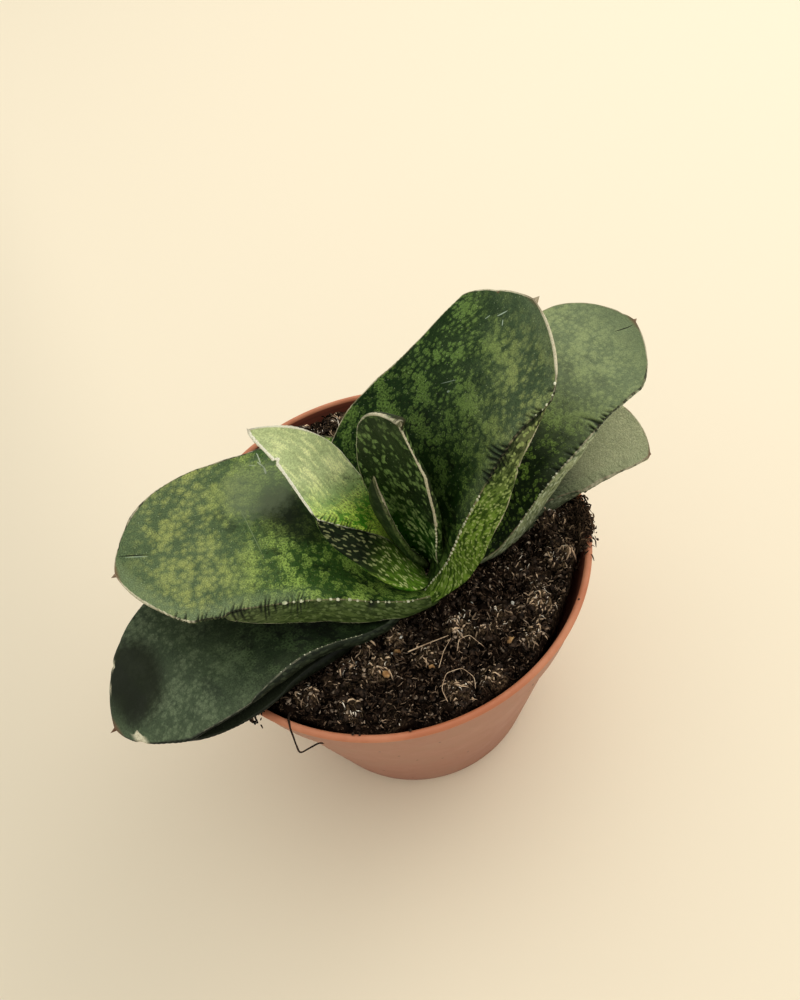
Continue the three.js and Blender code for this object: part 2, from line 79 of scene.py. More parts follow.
LEAVES = {
    "leaf_1_lower_left": {
        "rank": "left", "root": (-2.1, -10.6, 74.1), "length": 63.7, "width": 32, "heading": (190, 41, 0),
        "rise": (20, -15, 0), "roll": (1.5, -1.5, 0), "slant": 0.11, "peak": 0.58, "taper": (0.67, 0.64),
        "blunt": (1.7, 1.63), "near_wave": (0.1, 0.3, 0.8), "merge": 0.61, "flank_depth": 2.3,
        "flank_width": 2, "cup": 3, "thickness": 4.2,
    },
    "leaf_2_lower_right": {
        "rank": "right", "root": (18.2, -4.3, 75.3), "length": 61.8, "width": 31.3,
        "heading": (50, -72.5, -2.1), "rise": (21.4, -16.4, 0.6), "roll": (5.4, -8.7, -0.2), "slant": 0.23,
        "peak": 0.54, "taper": (0.74, 0.64), "blunt": (1.62, 1.45), "far_wave": (0, 0, 0.1, -0.6),
        "near_wave": (-0.3, 0.5, 0.5, 0.3), "merge": 0.61, "flank_depth": 4.1, "flank_width": 3,
        "flank_fade": 0.54, "cup": 3.9, "thickness": 4.4, "spine": 0.3,
    },
    "leaf_3_left": {
        "rank": "left", "root": (1, -12.4, 76.4), "length": 73.9, "width": 39, "heading": (189, 19.5, -0.1),
        "rise": (27, -31.3, 0.3), "roll": (7, -10.7, 0.1), "slant": 0.14, "peak": 0.84,
        "taper": (0.7, 0.82), "blunt": (1.45, 1.47), "far_wave": (0.2, -0.2, 0, 0.6),
        "near_wave": (-0.5, 0.5, 0.5, 1.1), "merge": 0.61, "flank_depth": 1.7, "flank_width": 1.9,
        "flank_fade": 0.32, "cup": 2.4, "thickness": 4.4,
    },
    "leaf_4_right": {
        "rank": "right", "root": (15.5, -6.8, 74.3), "length": 77.1, "width": 39.6,
        "heading": (52, -40.8, 0.5), "rise": (45.6, -30.3, 0.2), "roll": (-6.5, 3.2, -3), "slant": 0.05,
        "base": 0.51, "peak": 0.64, "taper": (0.64, 0.86), "blunt": (1.45, 1.58),
        "far_wave": (-0.6, 0.6, 0.2, -2.6), "near_wave": (-0.8, 1.3, 0.2, 0.3), "merge": 0.68,
        "flank_depth": 8.5, "flank_width": 2.8, "flank_fade": 0.89, "cup": 4.1, "spine": 0.8,
    },
    "leaf_5_left": {
        "rank": "left", "root": (6.8, -8.3, 75.9), "length": 76.5, "width": 43.8,
        "heading": (166.1, 24.2, 4.8), "rise": (55.2, -64.6, 0.5), "roll": (-18.3, 21.4, -4.9),
        "slant": 0.02, "base": 0.64, "peak": 0.26, "taper": (0.6, 0.8), "blunt": (1.63, 1.45),
        "far_wave": (1.1, 0.5, -0.7, -1.7), "near_wave": (-1.2, 0, -0.8, 0.1), "merge": 0.7,
        "flank_depth": 7.5, "flank_width": 5.3, "flank_fade": 0.47, "cup": 15.9, "sweep": (5, 0.9, -0.6),
        "sweep_reach": 0.37, "gather": 0.25,
    },
    "leaf_6_right": {
        "rank": "right", "root": (10, -7.6, 80), "length": 75.4, "width": 46.8, "heading": (32, -24.4, 7),
        "rise": (95.8, -64.3, -7.8), "roll": (-15.8, 27.8, 4.9), "slant": -0.09, "base": 0.58, "peak": 0.3,
        "taper": (0.86, 0.86), "blunt": (1.45, 1.58), "far_wave": (1.2, 2.7, -0.3, -0.6),
        "near_wave": (-3.1, -0.5, -1, -0.2), "merge": 0.84, "flank_depth": 6.7, "flank_width": 8.7,
        "flank_fade": 0.73, "cup": 13.3, "sweep": (-6.6, -3.8, -1.8), "sweep_reach": 0.19, "gather": 0.34,
        "near_gather": 0.12, "tail": 8,
    },
    "leaf_7_inner_left": {
        "rank": "left", "root": (9.4, -13.3, 77.1), "length": 61.4, "width": 18.2,
        "heading": (157.1, -12, -1.6), "rise": (67.5, -17.4, -1.7), "roll": (56, -78.5, -1.9),
        "slant": 0.17, "base": 0.38, "peak": 0.34, "taper": (0.66, 0.57), "blunt": (1.45, 1.45),
        "far_wave": (0.8, 0.4, 0.2, -0.2), "near_wave": (0.5, 0.5, -1.2, 0.5), "merge": 0.63,
        "flank_depth": 10, "flank_width": 14, "flank_fade": 0.68, "cup": 6.3, "thickness": 3.6,
        "sweep": (3, 1.3, 0.8), "sweep_reach": 0.28, "spine": 0.5,
    },
    "leaf_8_inner_right": {
        "rank": "right", "root": (9.9, -8.6, 80.3), "length": 54.9, "width": 20.5,
        "heading": (33, -14.9, -1.1), "rise": (100.9, -16, -0.7), "roll": (-12.7, -0.3, 0), "slant": 0.18,
        "base": 0.66, "peak": 0.57, "taper": (0.74, 0.8), "blunt": (2.31, 1.16),
        "far_wave": (0.5, -1.9, -1.6), "near_wave": (-0.1, -0.3, -0.3), "merge": 0.87, "flank_depth": 0.8,
        "flank_width": 1, "cup": 3.1, "thickness": 3, "near_gather": 0.14, "tail": 5,
    },
    "leaf_9_youngest": {
        "rank": "left", "root": (9.2, -10, 81.7), "length": 39, "width": 5.6, "heading": (189.3, -0.8, 1.3),
        "rise": (67.3, 22.8, 2), "roll": (23.6, 11.8, 2.5), "slant": 0.14, "peak": 0.5,
        "taper": (0.55, 0.6), "blunt": (1.3, 1), "merge": 0.8, "flank_depth": 0.8, "flank_width": 1,
        "cup": 0.3, "thickness": 1.2, "gather": 0.3, "spine": 0.8,
    },
}

# What grows on each leaf. Shares run from 0 at the root to 1 at the tip; other sizes are millimetres.
# beads, along the near margin: from share, to share, spacing, radius.
# creases, across the near margin: from share, to share, reach, spacing, depth. They are carved, and darkened
# with painted shade.
# flank_reach: how far creases go down the flank, over their reach on the upper face.
# rims, the horny edge: margin, from share, to share, width on the upper face, width on the side,
# strength, length of its dashes (0 = unbroken).
# shades, dark spans of an edge: the same values as rims.
# nicks: margin, share, depth, half width.
# marks on the skin: place across and along, half width, half length, turn in degrees, colour,
# strength, raggedness.
DETAIL_DEFAULTS = {
    "beads": (), "creases": (), "flank_reach": 0.4, "rims": (), "shades": (), "nicks": (), "marks": (),
}
CREAM, HORN, BROWN = (0.62, 0.58, 0.43), (0.34, 0.27, 0.18), (0.2, 0.1, 0.06)
SILVER, BLACK, SCRATCH = (0.42, 0.5, 0.4), (0.008, 0.009, 0.006), (0.62, 0.66, 0.56)

DETAILS = {
    "leaf_1_lower_left": {},
    "leaf_2_lower_right": {
        "creases": ((0.1, 0.9, 5.0, 2.1, 0.16),),
        "rims": (("near", 0.6, 1.0, 0.2, 0.5, 0.6, 3.0), ("far", 0.75, 1.0, 0.15, 0.4, 0.5, 3.0)),
    },
    "leaf_3_left": {
        "beads": ((0.2, 0.5, 1.3, 0.15),), "creases": ((0.3, 0.95, 0.9, 0.8, 0.12),),
        "rims": (
            ("near", 0.94, 0.966, 1.5, 1.0, 1.0, 0), ("far", 0.908, 0.922, 0.35, 0.8, 0.9, 0),
            ("far", 0.948, 0.958, 0.3, 0.8, 0.8, 0), ("near", 0.2, 0.8, 0.1, 0.2, 0.2, 2.2),
        ),
        "nicks": (("near", 0.957, 0.6, 1.0), ("far", 0.915, 0.4, 0.5)),
        "marks": (
            (-5.0, 65.6, 10.0, 6.8, 0, (0.01, 0.015, 0.003), 0.93, 0.3),
            (-8.0, 68.5, 5.0, 2.6, 10, (0.01, 0.013, 0.006), 0.5, 0.8),
            (0.5, 68.2, 4.0, 2.8, -20, (0.01, 0.013, 0.006), 0.5, 0.6),
        ),
    },
    "leaf_4_right": {
        "beads": ((0.12, 0.44, 1.25, 0.27),),
        "creases": ((0.62, 0.76, 5.6, 1.5, 1.0), (0.4, 0.62, 2.6, 1.5, 0.6)),
        "rims": (
            ("near", 0.44, 0.66, 0.2, 0.35, 0.8, 4.0), ("far", 0.6, 1.0, 0.12, 0.35, 0.6, 3.0),
            ("near", 0.95, 1.0, 0.2, 0.5, 0.9, 0),
        ),
        "shades": (("near", 0.64, 0.93, 0.3, 0.6, 0.75, 1.1),), "nicks": (("far", 0.985, 0.5, 0.6),),
        "marks": ((-0.8, 74.0, 0.14, 2.3, 19, BLACK, 0.9, 0.3),),
    },
    "leaf_5_left": {
        "beads": ((0.0, 0.13, 0.85, 0.33), (0.13, 0.26, 1.35, 0.36), (0.26, 0.5, 2.2, 0.4)),
        "creases": ((0.4, 0.88, 2.6, 1.0, 0.7), (0.12, 0.42, 1.6, 3.6, 0.5)), "flank_reach": 1.6,
        "rims": (
            ("near", 0.93, 1.0, 0.2, 0.5, 0.9, 0), ("near", 0.8, 0.94, 0.35, 0.4, 1.0, 1.6),
            ("far", 0.45, 0.9, 0.1, 0.3, 0.6, 1.2), ("far", 0.9, 1.0, 0.12, 0.4, 0.7, 1.5),
            ("keel", 0.1, 0.8, 0.1, 0.16, 0.6, 5.0),
        ),
        "shades": (("far", 0.3, 0.99, 0.22, 0.5, 0.8, 1.3), ("near", 0.5, 0.82, 0.3, 0.5, 0.8, 1.2)),
        "nicks": (("far", 0.968, 0.35, 0.5),),
        "marks": (
            # A painted shadow cast by leaf_7_inner_left, beside which this part lies.
            (-1.5, 35.0, 6.5, 9.0, -30, (0.02, 0.032, 0.01), 0.55, 0.6),
            (-3.1, 71.4, 0.13, 3.4, -21, BLACK, 0.95, 0.2), (-2.5, 71.0, 0.14, 2.6, -21, SILVER, 0.5, 0.5),
            (-18.3, 41.6, 0.16, 1.5, -75, SCRATCH, 0.7, 1.6),
            (-16.4, 41.2, 0.16, 1.3, -55, SCRATCH, 0.7, 1.6),
            (-14.6, 40.4, 0.22, 0.9, -80, SCRATCH, 0.8, 1.2),
            (-16.8, 43.0, 0.12, 0.8, -20, SCRATCH, 0.5, 1.2),
            (1.2, 44.3, 0.09, 7.6, -73, (0.3, 0.36, 0.2), 0.6, 0.2),
            # Two more patches of painted shadow cast by leaf_7_inner_left.
            (-4.5, 37.0, 4.5, 5.5, -30, (0.014, 0.02, 0.008), 0.75, 0.7),
            (1.5, 32.0, 4.0, 6.5, -30, (0.008, 0.014, 0.004), 0.65, 0.6),
            # A painted greyish sheen, for the light's reflection on the waxy skin.
            (-10.0, 42.0, 7.5, 8.0, 0, (0.19, 0.225, 0.14), 0.6, 0.5),
        ),
    },
    "leaf_6_right": {
        "beads": ((0.0, 0.1, 0.8, 0.36), (0.1, 0.51, 1.4, 0.4), (0.81, 0.9, 1.5, 0.22)),
        "creases": ((0.55, 0.72, 5.6, 1.4, 1.0), (0.72, 0.91, 5.0, 1.2, 0.6), (0.05, 0.56, 1.3, 1.0, 0.2)),
        "shades": (("near", 0.56, 0.91, 0.3, 0.5, 0.85, 1.4),),
        "rims": (
            ("near", 0.915, 1.0, 0.32, 0.6, 1.0, 0), ("near", 0.85, 0.92, 0.2, 0.3, 0.7, 0.9),
            ("far", 0.9, 1.0, 0.3, 0.8, 0.95, 0), ("far", 0.3, 0.9, 0.12, 0.5, 0.8, 4.0),
            ("keel", 0.3, 0.9, 0.12, 0.2, 0.75, 6.0),
        ),
        "nicks": (("keel", 0.655, 0.8, 0.7), ("far", 0.945, 0.3, 1.2)),
        "marks": (
            (-8.2, 68.8, 0.16, 1.4, 35, SILVER, 0.95, 0.5), (-6.2, 67.6, 0.13, 0.8, -50, SILVER, 0.95, 0.5),
            (-11.0, 66.0, 0.12, 0.7, 10, SILVER, 0.8, 0.5), (-5.2, 50.5, 0.1, 2.2, 40, SILVER, 0.5, 0.4),
            (-3.4, 49.0, 0.25, 0.4, 40, SILVER, 0.6, 0.5), (-13.8, 71.4, 0.7, 0.5, 0, BROWN, 0.6, 0.7),
        ),
    },
    "leaf_7_inner_left": {
        "creases": ((0.36, 0.66, 3.4, 0.8, 0.6),),
        "rims": (
            ("near", 0.66, 1.0, 0.42, 0.5, 1.0, 0), ("near", 0.5, 0.68, 0.35, 0.3, 0.9, 1.2),
            ("far", 0.3, 1.0, 0.14, 0.5, 0.75, 0),
        ),
        "nicks": (("near", 0.86, 0.8, 0.7),),
        "marks": ((8.0, 51.5, 0.8, 1.3, 20, (0.03, 0.06, 0.02), 0.7, 0.6),),
    },
    "leaf_8_inner_right": {
        "beads": ((0.26, 0.46, 1.7, 0.3),),
        "rims": (
            ("near", 0.47, 0.87, 0.4, 0.5, 1.0, 0), ("near", 0.87, 0.985, 0.09, 0.35, 1.0, 0),
            ("near", 0.3, 0.47, 0.35, 0.3, 1.0, 1.5), ("far", 0.925, 0.985, 0.11, 0.4, 1.0, 0),
            ("far", 0.2, 0.93, 0.1, 0.5, 0.35, 0),
        ),
    },
    "leaf_9_youngest": {
        "rims": (("near", 0.3, 1.0, 0.3, 0.6, 1.0, 0), ("far", 0.3, 1.0, 0.12, 0.4, 0.6, 0)),
    },
}

# How each leaf's skin is coloured. Pairs are the look near the root and near the tip; where the tip look is
# paler and greyer, it is partly painted sheen.
# change, side_change: shares over which the face and the flank go from one look to the other; skew tilts it.
# cell: size of a spot. stretch: its length over its width. cover: how much of the blade the clusters fill.
# scatter: how far spots leave their clusters. soften: how blurred they are. strength: how strong they are.
# veil: strength of the bloom and painted sheen; beside: the same along the near margin. dark: strength of the
# dark patches.
# dashes, dash: colour, and width and length, of the dashes on the flank; dash_tip: what is left of them at
# the tip. mottle: strength of the flank's streaks. line: the thin margin. horn: the rims, clean and worn.
# pebble, grit_and_glints, dust: relief, graininess with painted glints, pale specks. tip: how brown the tip
# is.
SKIN_DEFAULTS = {
    "slot": "leaf_spotted", "ground": ((0.03, 0.08, 0.01), (0.115, 0.165, 0.062)),
    "spots": ((0.33, 0.5, 0.11), (0.33, 0.365, 0.125)), "cell": (1.15, 1.6), "stretch": (1.3, 1.1),
    "cover": (0.64, 0.58), "strength": (0.85, 0.85), "change": (0.42, 0.76), "veil": 0.2, "dark": 0.8,
    "bloom_and_sheen": (0.25, 0.31, 0.17), "flank": ((0.11, 0.155, 0.045), (0.16, 0.18, 0.09)), "mottle": 0.8,
    "dashes": (0.18, 0.23, 0.09), "dash": (0.9, 1.9), "pebble": 0.6, "line": HORN, "specular": 0.14,
    "tip": 0.75, "scatter": 0, "skew": 0, "beside": 1.5, "side_change": (0.42, 0.76), "dust": 0.45,
    "grit_and_glints": 0.3, "horn": (CREAM, HORN), "dash_tip": 1.0, "soften": (0, 0.2),
}

SKINS = {
    "leaf_1_lower_left": {
        "slot": "leaf_dark", "ground": ((0.006, 0.008, 0.004), (0.01, 0.012, 0.007)),
        "spots": ((0.012, 0.018, 0.008), (0.02, 0.027, 0.015)), "strength": (0.4, 0.4), "veil": 0.05,
        "flank": ((0.012, 0.016, 0.008), (0.014, 0.018, 0.01)), "dashes": (0.02, 0.026, 0.014),
        "line": (0.03, 0.035, 0.02), "specular": 0.2, "dust": 0.1,
    },
    "leaf_2_lower_right": {
        # The pale grey colours towards the tip are partly painted sheen.
        "slot": "leaf_pale", "ground": ((0.1, 0.12, 0.065), (0.52, 0.52, 0.33)),
        "spots": ((0.15, 0.18, 0.095), (0.62, 0.62, 0.4)), "strength": (0.3, 0.3), "dark": 0.3,
        "flank": ((0.15, 0.17, 0.1), (0.25, 0.26, 0.16)), "dashes": (0.26, 0.28, 0.18), "pebble": 1.5,
        "line": (0.34, 0.24, 0.17), "specular": 0.2, "grit_and_glints": 0.2,
    },
    "leaf_3_left": {
        "slot": "leaf_dark", "ground": ((0.015, 0.029, 0.01), (0.066, 0.093, 0.05)), "cell": (1.2, 1.3),
        "spots": ((0.065, 0.105, 0.04), (0.165, 0.205, 0.12)), "strength": (0.8, 0.8), "veil": 0.06,
        "grit_and_glints": 0.22, "flank": ((0.026, 0.035, 0.018), (0.012, 0.017, 0.01)),
        "dashes": (0.05, 0.065, 0.035), "line": (0.06, 0.07, 0.045), "dust": 0.08, "specular": 0.22,
    },
    "leaf_4_right": {
        "ground": ((0.008, 0.02, 0.003), (0.236, 0.286, 0.158)), "strength": (0.8, 0.52),
        "cover": (0.5, 0.66), "cell": (1.1, 1.3), "grit_and_glints": 0.15, "specular": 0.2,
        "spots": ((0.25, 0.38, 0.07), (0.56, 0.63, 0.3)), "change": (0.42, 0.84), "veil": 0.14,
        "soften": (0, 0.45), "flank": ((0.4, 0.44, 0.25), (0.5, 0.54, 0.38)), "dashes": (0.6, 0.65, 0.46),
    },
    "leaf_5_left": {
        # The bright root colours are partly painted light, where leaf_7_inner_left shades the base.
        "ground": ((0.055, 0.118, 0.026), (0.104, 0.15, 0.07)), "beside": 2.6, "soften": (0.1, 0.45),
        "spots": ((0.52, 0.69, 0.18), (0.41, 0.44, 0.145)),
    },
    "leaf_6_right": {
        "ground": ((0.011, 0.037, 0.005), (0.07, 0.11, 0.052)),
        "spots": ((0.21, 0.33, 0.08), (0.35, 0.4, 0.145)), "change": (0.58, 1.0), "veil": 0.1,
        "specular": 0.1, "dark": 1.0, "cover": (0.6, 0.64), "skew": 0.011, "beside": 2.4,
        "soften": (0, 0.3), "strength": (0.74, 0.9), "flank": ((0.2, 0.31, 0.05), (0.17, 0.19, 0.085)),
        "dashes": (0.42, 0.5, 0.19), "mottle": 1.0, "tip": 0.4, "dash": (0.7, 1.3),
    },
    "leaf_7_inner_left": {
        # The bright colours of the face near the root are partly painted light.
        "slot": "leaf_bright", "ground": ((0.09, 0.34, 0.012), (0.56, 0.64, 0.33)), "cell": (0.9, 1.0),
        "spots": ((0.8, 1.0, 0.18), (0.86, 0.9, 0.48)), "strength": (1.0, 1.0), "stretch": (2.0, 5.0),
        # The near-black flank colour towards the tip is painted shade.
        "cover": (0.85, 0.66), "flank": ((0.27, 0.47, 0.062), (0.015, 0.029, 0.009)),
        "dashes": (0.95, 1.0, 0.5), "dash_tip": 0.32, "change": (0.42, 0.72), "skew": -0.012,
        "side_change": (0.12, 0.42), "dash": (0.7, 2.2), "veil": 0.14, "beside": 0, "line": CREAM,
        "bloom_and_sheen": (0.6, 0.63, 0.44), "tip": 0.3, "grit_and_glints": 0.16,
        "horn": ((0.92, 0.9, 0.76), (0.52, 0.46, 0.35)),
    },
    "leaf_8_inner_right": {
        "slot": "leaf_dark", "ground": ((0.026, 0.11, 0.006), (0.011, 0.03, 0.005)), "cell": (1.15, 1.3),
        "strength": (1.0, 0.95), "spots": ((0.8, 1.0, 0.42), (0.24, 0.35, 0.12)), "stretch": (1.4, 1.2),
        "scatter": 1.3, "grit_and_glints": 0.2, "beside": 0.5, "flank": ((0.03, 0.07, 0.01), (0.03, 0.045, 0.015)),
        "dashes": (0.2, 0.28, 0.1), "change": (0.2, 0.6), "line": CREAM, "veil": 0.08, "tip": 0.15,
    },
    "leaf_9_youngest": {
        "slot": "leaf_bright", "ground": ((0.02, 0.05, 0.01), (0.025, 0.045, 0.015)), "cell": (0.9, 1.2),
        "spots": ((0.12, 0.18, 0.05), (0.12, 0.16, 0.07)), "stretch": (2.4, 3.0), "line": CREAM, "tip": 0.1,
    },
}


# ---- small numeric helpers ----

LATTICE = 64  # random numbers before a pattern repeats


def clamp01(value):
    return np.clip(value, 0.0, 1.0)


def crowded(count):
    """Shares from 0 to 1, closer together towards both ends."""
    t = np.linspace(0.0, 1.0, count + 1)
    return 0.4 * t + 0.6 * (0.5 - 0.5 * np.cos(np.pi * t))


def bump(distance, radius):
    """A smooth rise from 0 at the radius to 1 in the middle."""
    return np.where(distance < radius, np.cos(np.pi / 2 * np.minimum(distance / radius, 1)) ** 2, 0)


def unit(vectors):
    return vectors / np.maximum(np.linalg.norm(vectors, axis=-1, keepdims=True), 1e-9)


def polar(radius, angle):
    return radius * np.cos(angle), radius * np.sin(angle)


def degrees_from(angle, centre):
    """Degrees between angles in radians and one that is given in degrees."""
    return np.degrees(np.angle(np.exp(1j * (angle - math.radians(centre)))))


def bilinear(corner, u, v):
    """The value at a place between four corners, from corner(right, up)."""
    low = corner(0, 0) * (1 - u) + corner(1, 0) * u
    high = corner(0, 1) * (1 - u) + corner(1, 1) * u
    return low * (1 - v) + high * v


def soft_noise(x, y, seed):
    """Smooth noise between -1 and 1 with features one unit wide."""
    lattice = np.random.default_rng(seed).uniform(-1, 1, (LATTICE, LATTICE))
    column = np.floor(x).astype(int)
    row = np.floor(y).astype(int)
    u = x - column
    v = y - row
    u = u * u * (3 - 2 * u)
    v = v * v * (3 - 2 * v)
    return bilinear(lambda right, up: lattice[(row + up) % LATTICE, (column + right) % LATTICE], u, v)


# ---- mesh helpers ----

def in_order(bm):
    """The same bmesh with its vertices numbered without gaps, so that new ones follow the old."""
    mesh = bpy.data.meshes.new("ordered")
    bm.to_mesh(mesh)
    bm.free()
    ordered = bmesh.new()
    ordered.from_mesh(mesh)
    bpy.data.meshes.remove(mesh)
    return ordered


def move_verts(bm, places):
    for vert, place in zip(bm.verts, places.tolist()):
        vert.co = place


def grid_shell(places):
    """A closed skin through places[row, column], in metres, whose first and last rows shrink to a point."""
    rows, columns = places.shape[:2]
    bm = bmesh.new()
    bmesh.ops.create_grid(bm, x_segments=columns, y_segments=rows - 1, size=1.0)
    move_verts(bm, np.concatenate([places, places[:, :1]], axis=1).reshape(-1, 3))
    bm.verts.ensure_lookup_table()
    verts = bm.verts[:]
    weld = {verts[r * (columns + 1) + columns]: verts[r * (columns + 1)] for r in range(rows)}
    for start in (0, (rows - 1) * (columns + 1)):
        weld.update({verts[start + c]: verts[start] for c in range(1, columns + 1)})
    bmesh.ops.weld_verts(bm, targetmap=weld)
    bmesh.ops.recalc_face_normals(bm, faces=bm.faces[:])
    return in_order(bm)


def kept_values(values):
    """One value per vertex that grid_shell keeps, from values[row, column]."""
    return np.concatenate([values[0, :1], *values[1:-1], values[-1, :1]])


def set_attribute(mesh, name, values):
    """Stores a number or a vector for each vertex."""
    vector = values.ndim == 2
    attribute = mesh.attributes.new(name, "FLOAT_VECTOR" if vector else "FLOAT", "POINT")
    field = "vector" if vector else "value"
    attribute.data.foreach_set(field, np.ascontiguousarray(values, dtype=np.float32).ravel())


def mesh_object(name, bm):
    """An object in the scene, made from a bmesh that isn't needed any more."""
    mesh = bpy.data.meshes.new(name)
    bm.to_mesh(mesh)
    bm.free()
    made = bpy.data.objects.new(name, mesh)
    bpy.context.scene.collection.objects.link(made)
    return made


def make_piece(name, bm, materials, node=None):
    """Turns a bmesh into a smooth piece that rides on the pot's body."""
    piece = mesh_object(name, bm)
    piece.data.shade_smooth()
    for material in materials:
        piece.data.materials.append(material)
    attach(piece, "root")
    if node:
        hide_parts(node)
    return piece


# ---- material helper ----

class Shader:
    """A material and short calls that add and link its nodes."""

    def __init__(self, name, roughness=0.5, specular=0.5):
        self.material = bpy.data.materials.new(name)
        self.material.use_nodes = True
        self.tree = self.material.node_tree
        self.surface = self.tree.nodes["Principled BSDF"]
        self.surface.inputs["Roughness"].default_value = roughness
        self.surface.inputs["Specular IOR Level"].default_value = specular

    def feed(self, socket, value):
        if isinstance(value, bpy.types.NodeSocket):
            self.tree.links.new(value, socket)
        elif socket.type == "RGBA" and len(value) == 3:
            socket.default_value = (*value, 1.0)
        else:
            socket.default_value = value

    def add(self, kind, inputs=None, **settings):
        """The outputs of a new node with these settings and with values or links on its inputs."""
        node = self.tree.nodes.new("ShaderNode" + kind)
        for name, value in settings.items():
            setattr(node, name, value)
        for key, value in (inputs or {}).items():
            self.feed(node.inputs[key], value)
        return node.outputs

    def math(self, operation, a, b):
        return self.add("Math", {0: a, 1: b}, operation=operation)[0]

    def plus(self, a, b):
        return self.math("ADD", a, b)

    def minus(self, a, b):
        return self.math("SUBTRACT", a, b)

    def times(self, a, b):
        return self.math("MULTIPLY", a, b)

    def over(self, a, b):
        return self.math("DIVIDE", a, b)

    def swing(self, value, size, middle=0.5):
        """A value turned into one that swings about 0."""
        return self.times(self.minus(value, middle), size)

    def vector(self, operation, a, b):
        second = "Scale" if operation == "SCALE" else 1
        return self.add("VectorMath", {0: a, second: b}, operation=operation)[0]

    def length(self, x, y):
        return self.add("VectorMath", {0: self.joined(x, y, 0.0)}, operation="LENGTH")[1]

    def mix(self, share, a, b, blend="MIX"):
        return self.add("Mix", {0: share, 6: a, 7: b}, data_type="RGBA", blend_type=blend)[2]

    def tinted(self, colour, tint):
        return self.mix(1.0, colour, tint, "MULTIPLY")

    def ramp(self, value, start, end, low=0.0, high=1.0):
        """Goes smoothly from low to high while the value goes from start to end."""
        inputs = {"Value": value, "From Min": start, "From Max": end, "To Min": low, "To Max": high}
        return self.add("MapRange", inputs, interpolation_type="SMOOTHSTEP")["Result"]

    def noise(self, place, scale, detail=2.0, roughness=0.5, colour=False):
        inputs = {"Vector": place, "Scale": scale, "Detail": detail, "Roughness": roughness}
        return self.add("TexNoise", inputs)["Color" if colour else "Fac"]

    def cells(self, place, scale=1.0, spread=1.0, dimensions="2D"):
        """Distance across a surface to the nearest cell point, and a random number for that cell."""
        inputs = {"Vector": place, "Scale": scale, "Randomness": spread}
        cell = self.add("TexVoronoi", inputs, voronoi_dimensions=dimensions)
        return cell["Distance"], self.add("SeparateColor", {0: cell["Color"]})[0]

    def attribute(self, name, output="Vector"):
        return self.add("Attribute", attribute_name=name)[output]

    def place(self):
        """Object coordinates in millimetres."""
        return self.vector("SCALE", self.add("TexCoord")["Object"], 1 / MM)

    def parts(self, vector):
        return tuple(self.add("SeparateXYZ", {0: vector}))

    def joined(self, x, y, z):
        return self.add("CombineXYZ", {0: x, 1: y, 2: z})[0]

    def colour(self, value):
        self.feed(self.surface.inputs["Base Color"], value)

    def roughness(self, value):
        self.feed(self.surface.inputs["Roughness"], value)

    def bump(self, height, distance, strength=1.0):
        inputs = {"Height": height, "Distance": distance * MM, "Strength": strength}
        self.feed(self.surface.inputs["Normal"], self.add("Bump", inputs)["Normal"])


# ---- leaves ----

UPPER, FLANK, UNDER, ROUND = 44, 10, 26, 4  # columns across the upper face, flank, under side and far edge
NEAR = UPPER  # the column of the near margin
KEEL = UPPER + FLANK
FAR_LOW = KEEL + UNDER
COLUMNS = FAR_LOW + ROUND
TIP_CROWDING = 1.35  # how much closer the rows are at the tip
SPINE_ROWS = 5
CUP_END = 0.6  # share of the blade at which it has become flat
TOOTH_DEPTH, TOOTH_SPACING = 0.12, 1.1
TOOTH_ROOT, NICK_ROOT = 0.8, 1.2  # how far a tooth and a nick reach into the blade


def leaf_directions(leaf, shares):
    """Unit vectors along the leaf, across it towards the near side, and out of its upper face."""
    s = np.maximum(shares, 0.0)
    side = 1.0 if leaf["rank"] == "right" else -1.0
    heading, rise, roll = (
        np.radians(start + change * s + bend * s * s)
        for start, change, bend in (leaf["heading"], leaf["rise"], leaf["roll"])
    )
    along = np.stack([np.cos(rise) * np.cos(heading), np.cos(rise) * np.sin(heading), np.sin(rise)], -1)
    level = side * np.stack([np.sin(heading), -np.cos(heading), 0 * heading], -1)
    above = side * np.cross(level, along)
    cos_roll, sin_roll = np.cos(roll)[:, None], np.sin(roll)[:, None]
    return along, level * cos_roll + above * sin_roll, above * cos_roll - level * sin_roll


def leaf_line(leaf, shares):
    """Points of the leaf's middle line."""
    length = leaf["length"]
    fine = np.linspace(-leaf["tail"] / length, 1.0, 1601)
    along, _, _ = leaf_directions(leaf, (fine[1:] + fine[:-1]) / 2)
    walked = np.concatenate([np.zeros((1, 3)), np.cumsum(along * np.diff(fine)[:, None] * length, axis=0)])
    walked += np.array(leaf["root"]) - [np.interp(0.0, fine, walked[:, k]) for k in range(3)]
    return np.stack([np.interp(shares, fine, walked[:, k]) for k in range(3)], -1)


